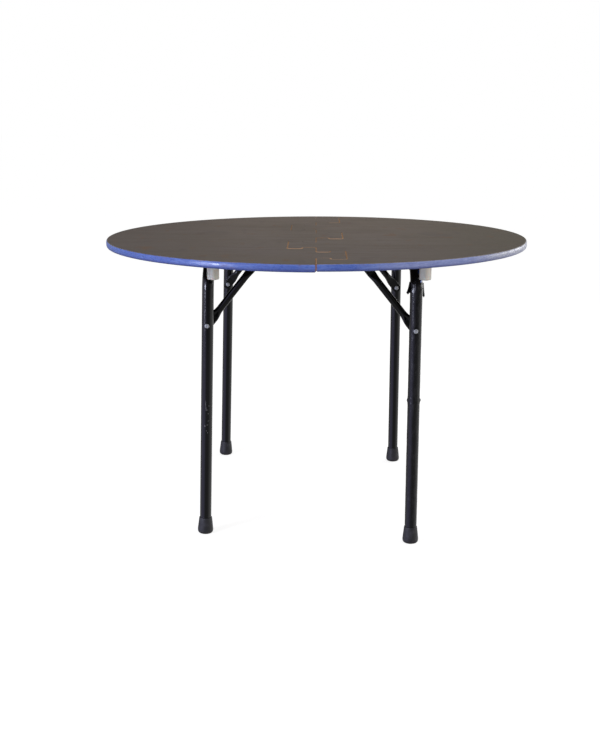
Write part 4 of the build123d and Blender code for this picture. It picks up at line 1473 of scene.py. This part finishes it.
# Lamps: name, place, width and height in metres, power in watts, colour, and whether dull and glossy
# surfaces see it
SOFTBOXES = (
    ("window_left", (-2.2, -1.9, 0.74), 0.45, 0.66, 34, "#e4e9ff", False, True),
    ("fill_left", (-2.2, -1.9, 1.35), 0.7, 1.8, 46, "#e8ecff", True, False),
    ("lamp_right", (2.0, -2.2, 0.6), 1.6, 1.0, 28, "#fff4e6", True, False),
    ("lamp_back_right", (2.7, 1.2, 1.0), 2.2, 0.9, 21, "#ffffff", True, True),
    ("fill_back_right", (0.8, 0.9, 1.6), 0.8, 0.8, 3.2, "#fffaf2", True, False),
    ("lamp_above", (0.3, -0.2, 3.3), 2.0, 2.0, 16, "#fffaf2", True, True),
)
# What the lamps point at
TABLE_MIDDLE = Vector((0, 0, 0.6))


class TABLE_OT_stage(bpy.types.Operator):
    """Sets the floor, the soft light and the camera"""
    bl_idname = "folding_table.stage"
    bl_label = "Stage"

    def execute(self, context):
        stage = context.scene.table_stage
        work = bmesh.new()
        bmesh.ops.create_circle(work, cap_ends=True, segments=96, radius=stage.floor_radius)
        mesh = bpy.data.meshes.new("floor")
        work.to_mesh(mesh)
        work.free()
        mesh.materials.append(floor_material())
        put_in_scene("floor", mesh)
        studio_world()
        for name, place, width, height, watts, hex_colour, on_dull, on_gloss in SOFTBOXES:
            lamp = bpy.data.lights.new(name, "AREA")
            lamp.shape, lamp.size, lamp.size_y = "RECTANGLE", width, height
            lamp.energy, lamp.color = watts, linear(hex_colour)[:3]
            holder = put_in_scene(name, lamp)
            holder.location = place
            holder.visible_diffuse, holder.visible_glossy = on_dull, on_gloss
            holder.rotation_euler = (TABLE_MIDDLE - Vector(place)).to_track_quat("-Z", "Y").to_euler()
        lens = bpy.data.cameras.new("camera")
        lens.lens = stage.lens
        camera = put_in_scene("camera", lens)
        camera.location, camera.rotation_euler = stage.camera_place, stage.camera_turn
        context.scene.camera = camera
        context.scene.view_settings.view_transform = "Standard"
        return {"FINISHED"}


# Panel and registration

OPERATORS = (
    TABLE_OT_painted_top, TABLE_OT_leg_frames, TABLE_OT_foot_caps, TABLE_OT_braces, TABLE_OT_rivets,
    TABLE_OT_screws, TABLE_OT_blocks, TABLE_OT_film, TABLE_OT_hardware, TABLE_OT_stage)


class TABLE_PT_pieces(bpy.types.Panel):
    """Lists the table's pieces in the sidebar"""
    bl_idname = "TABLE_PT_pieces"
    bl_label = "Round Folding Table"
    bl_space_type = "VIEW_3D"
    bl_region_type = "UI"
    bl_category = "Table"

    def draw(self, context):
        for operator in OPERATORS:
            self.layout.operator(operator.bl_idname)


CLASSES = (*SETTINGS.values(), *OPERATORS, TABLE_PT_pieces)


def register():
    for cls in CLASSES:
        bpy.utils.register_class(cls)
    for name, group in SETTINGS.items():
        setattr(bpy.types.Scene, name, PointerProperty(type=group))


def unregister():
    for name in SETTINGS:
        delattr(bpy.types.Scene, name)
    for cls in reversed(CLASSES):
        bpy.utils.unregister_class(cls)


def main():
    """Builds every piece."""
    register()
    for operator in OPERATORS:
        group, name = operator.bl_idname.split(".")
        getattr(getattr(bpy.ops, group), name)()


if __name__ == "__main__":
    main()
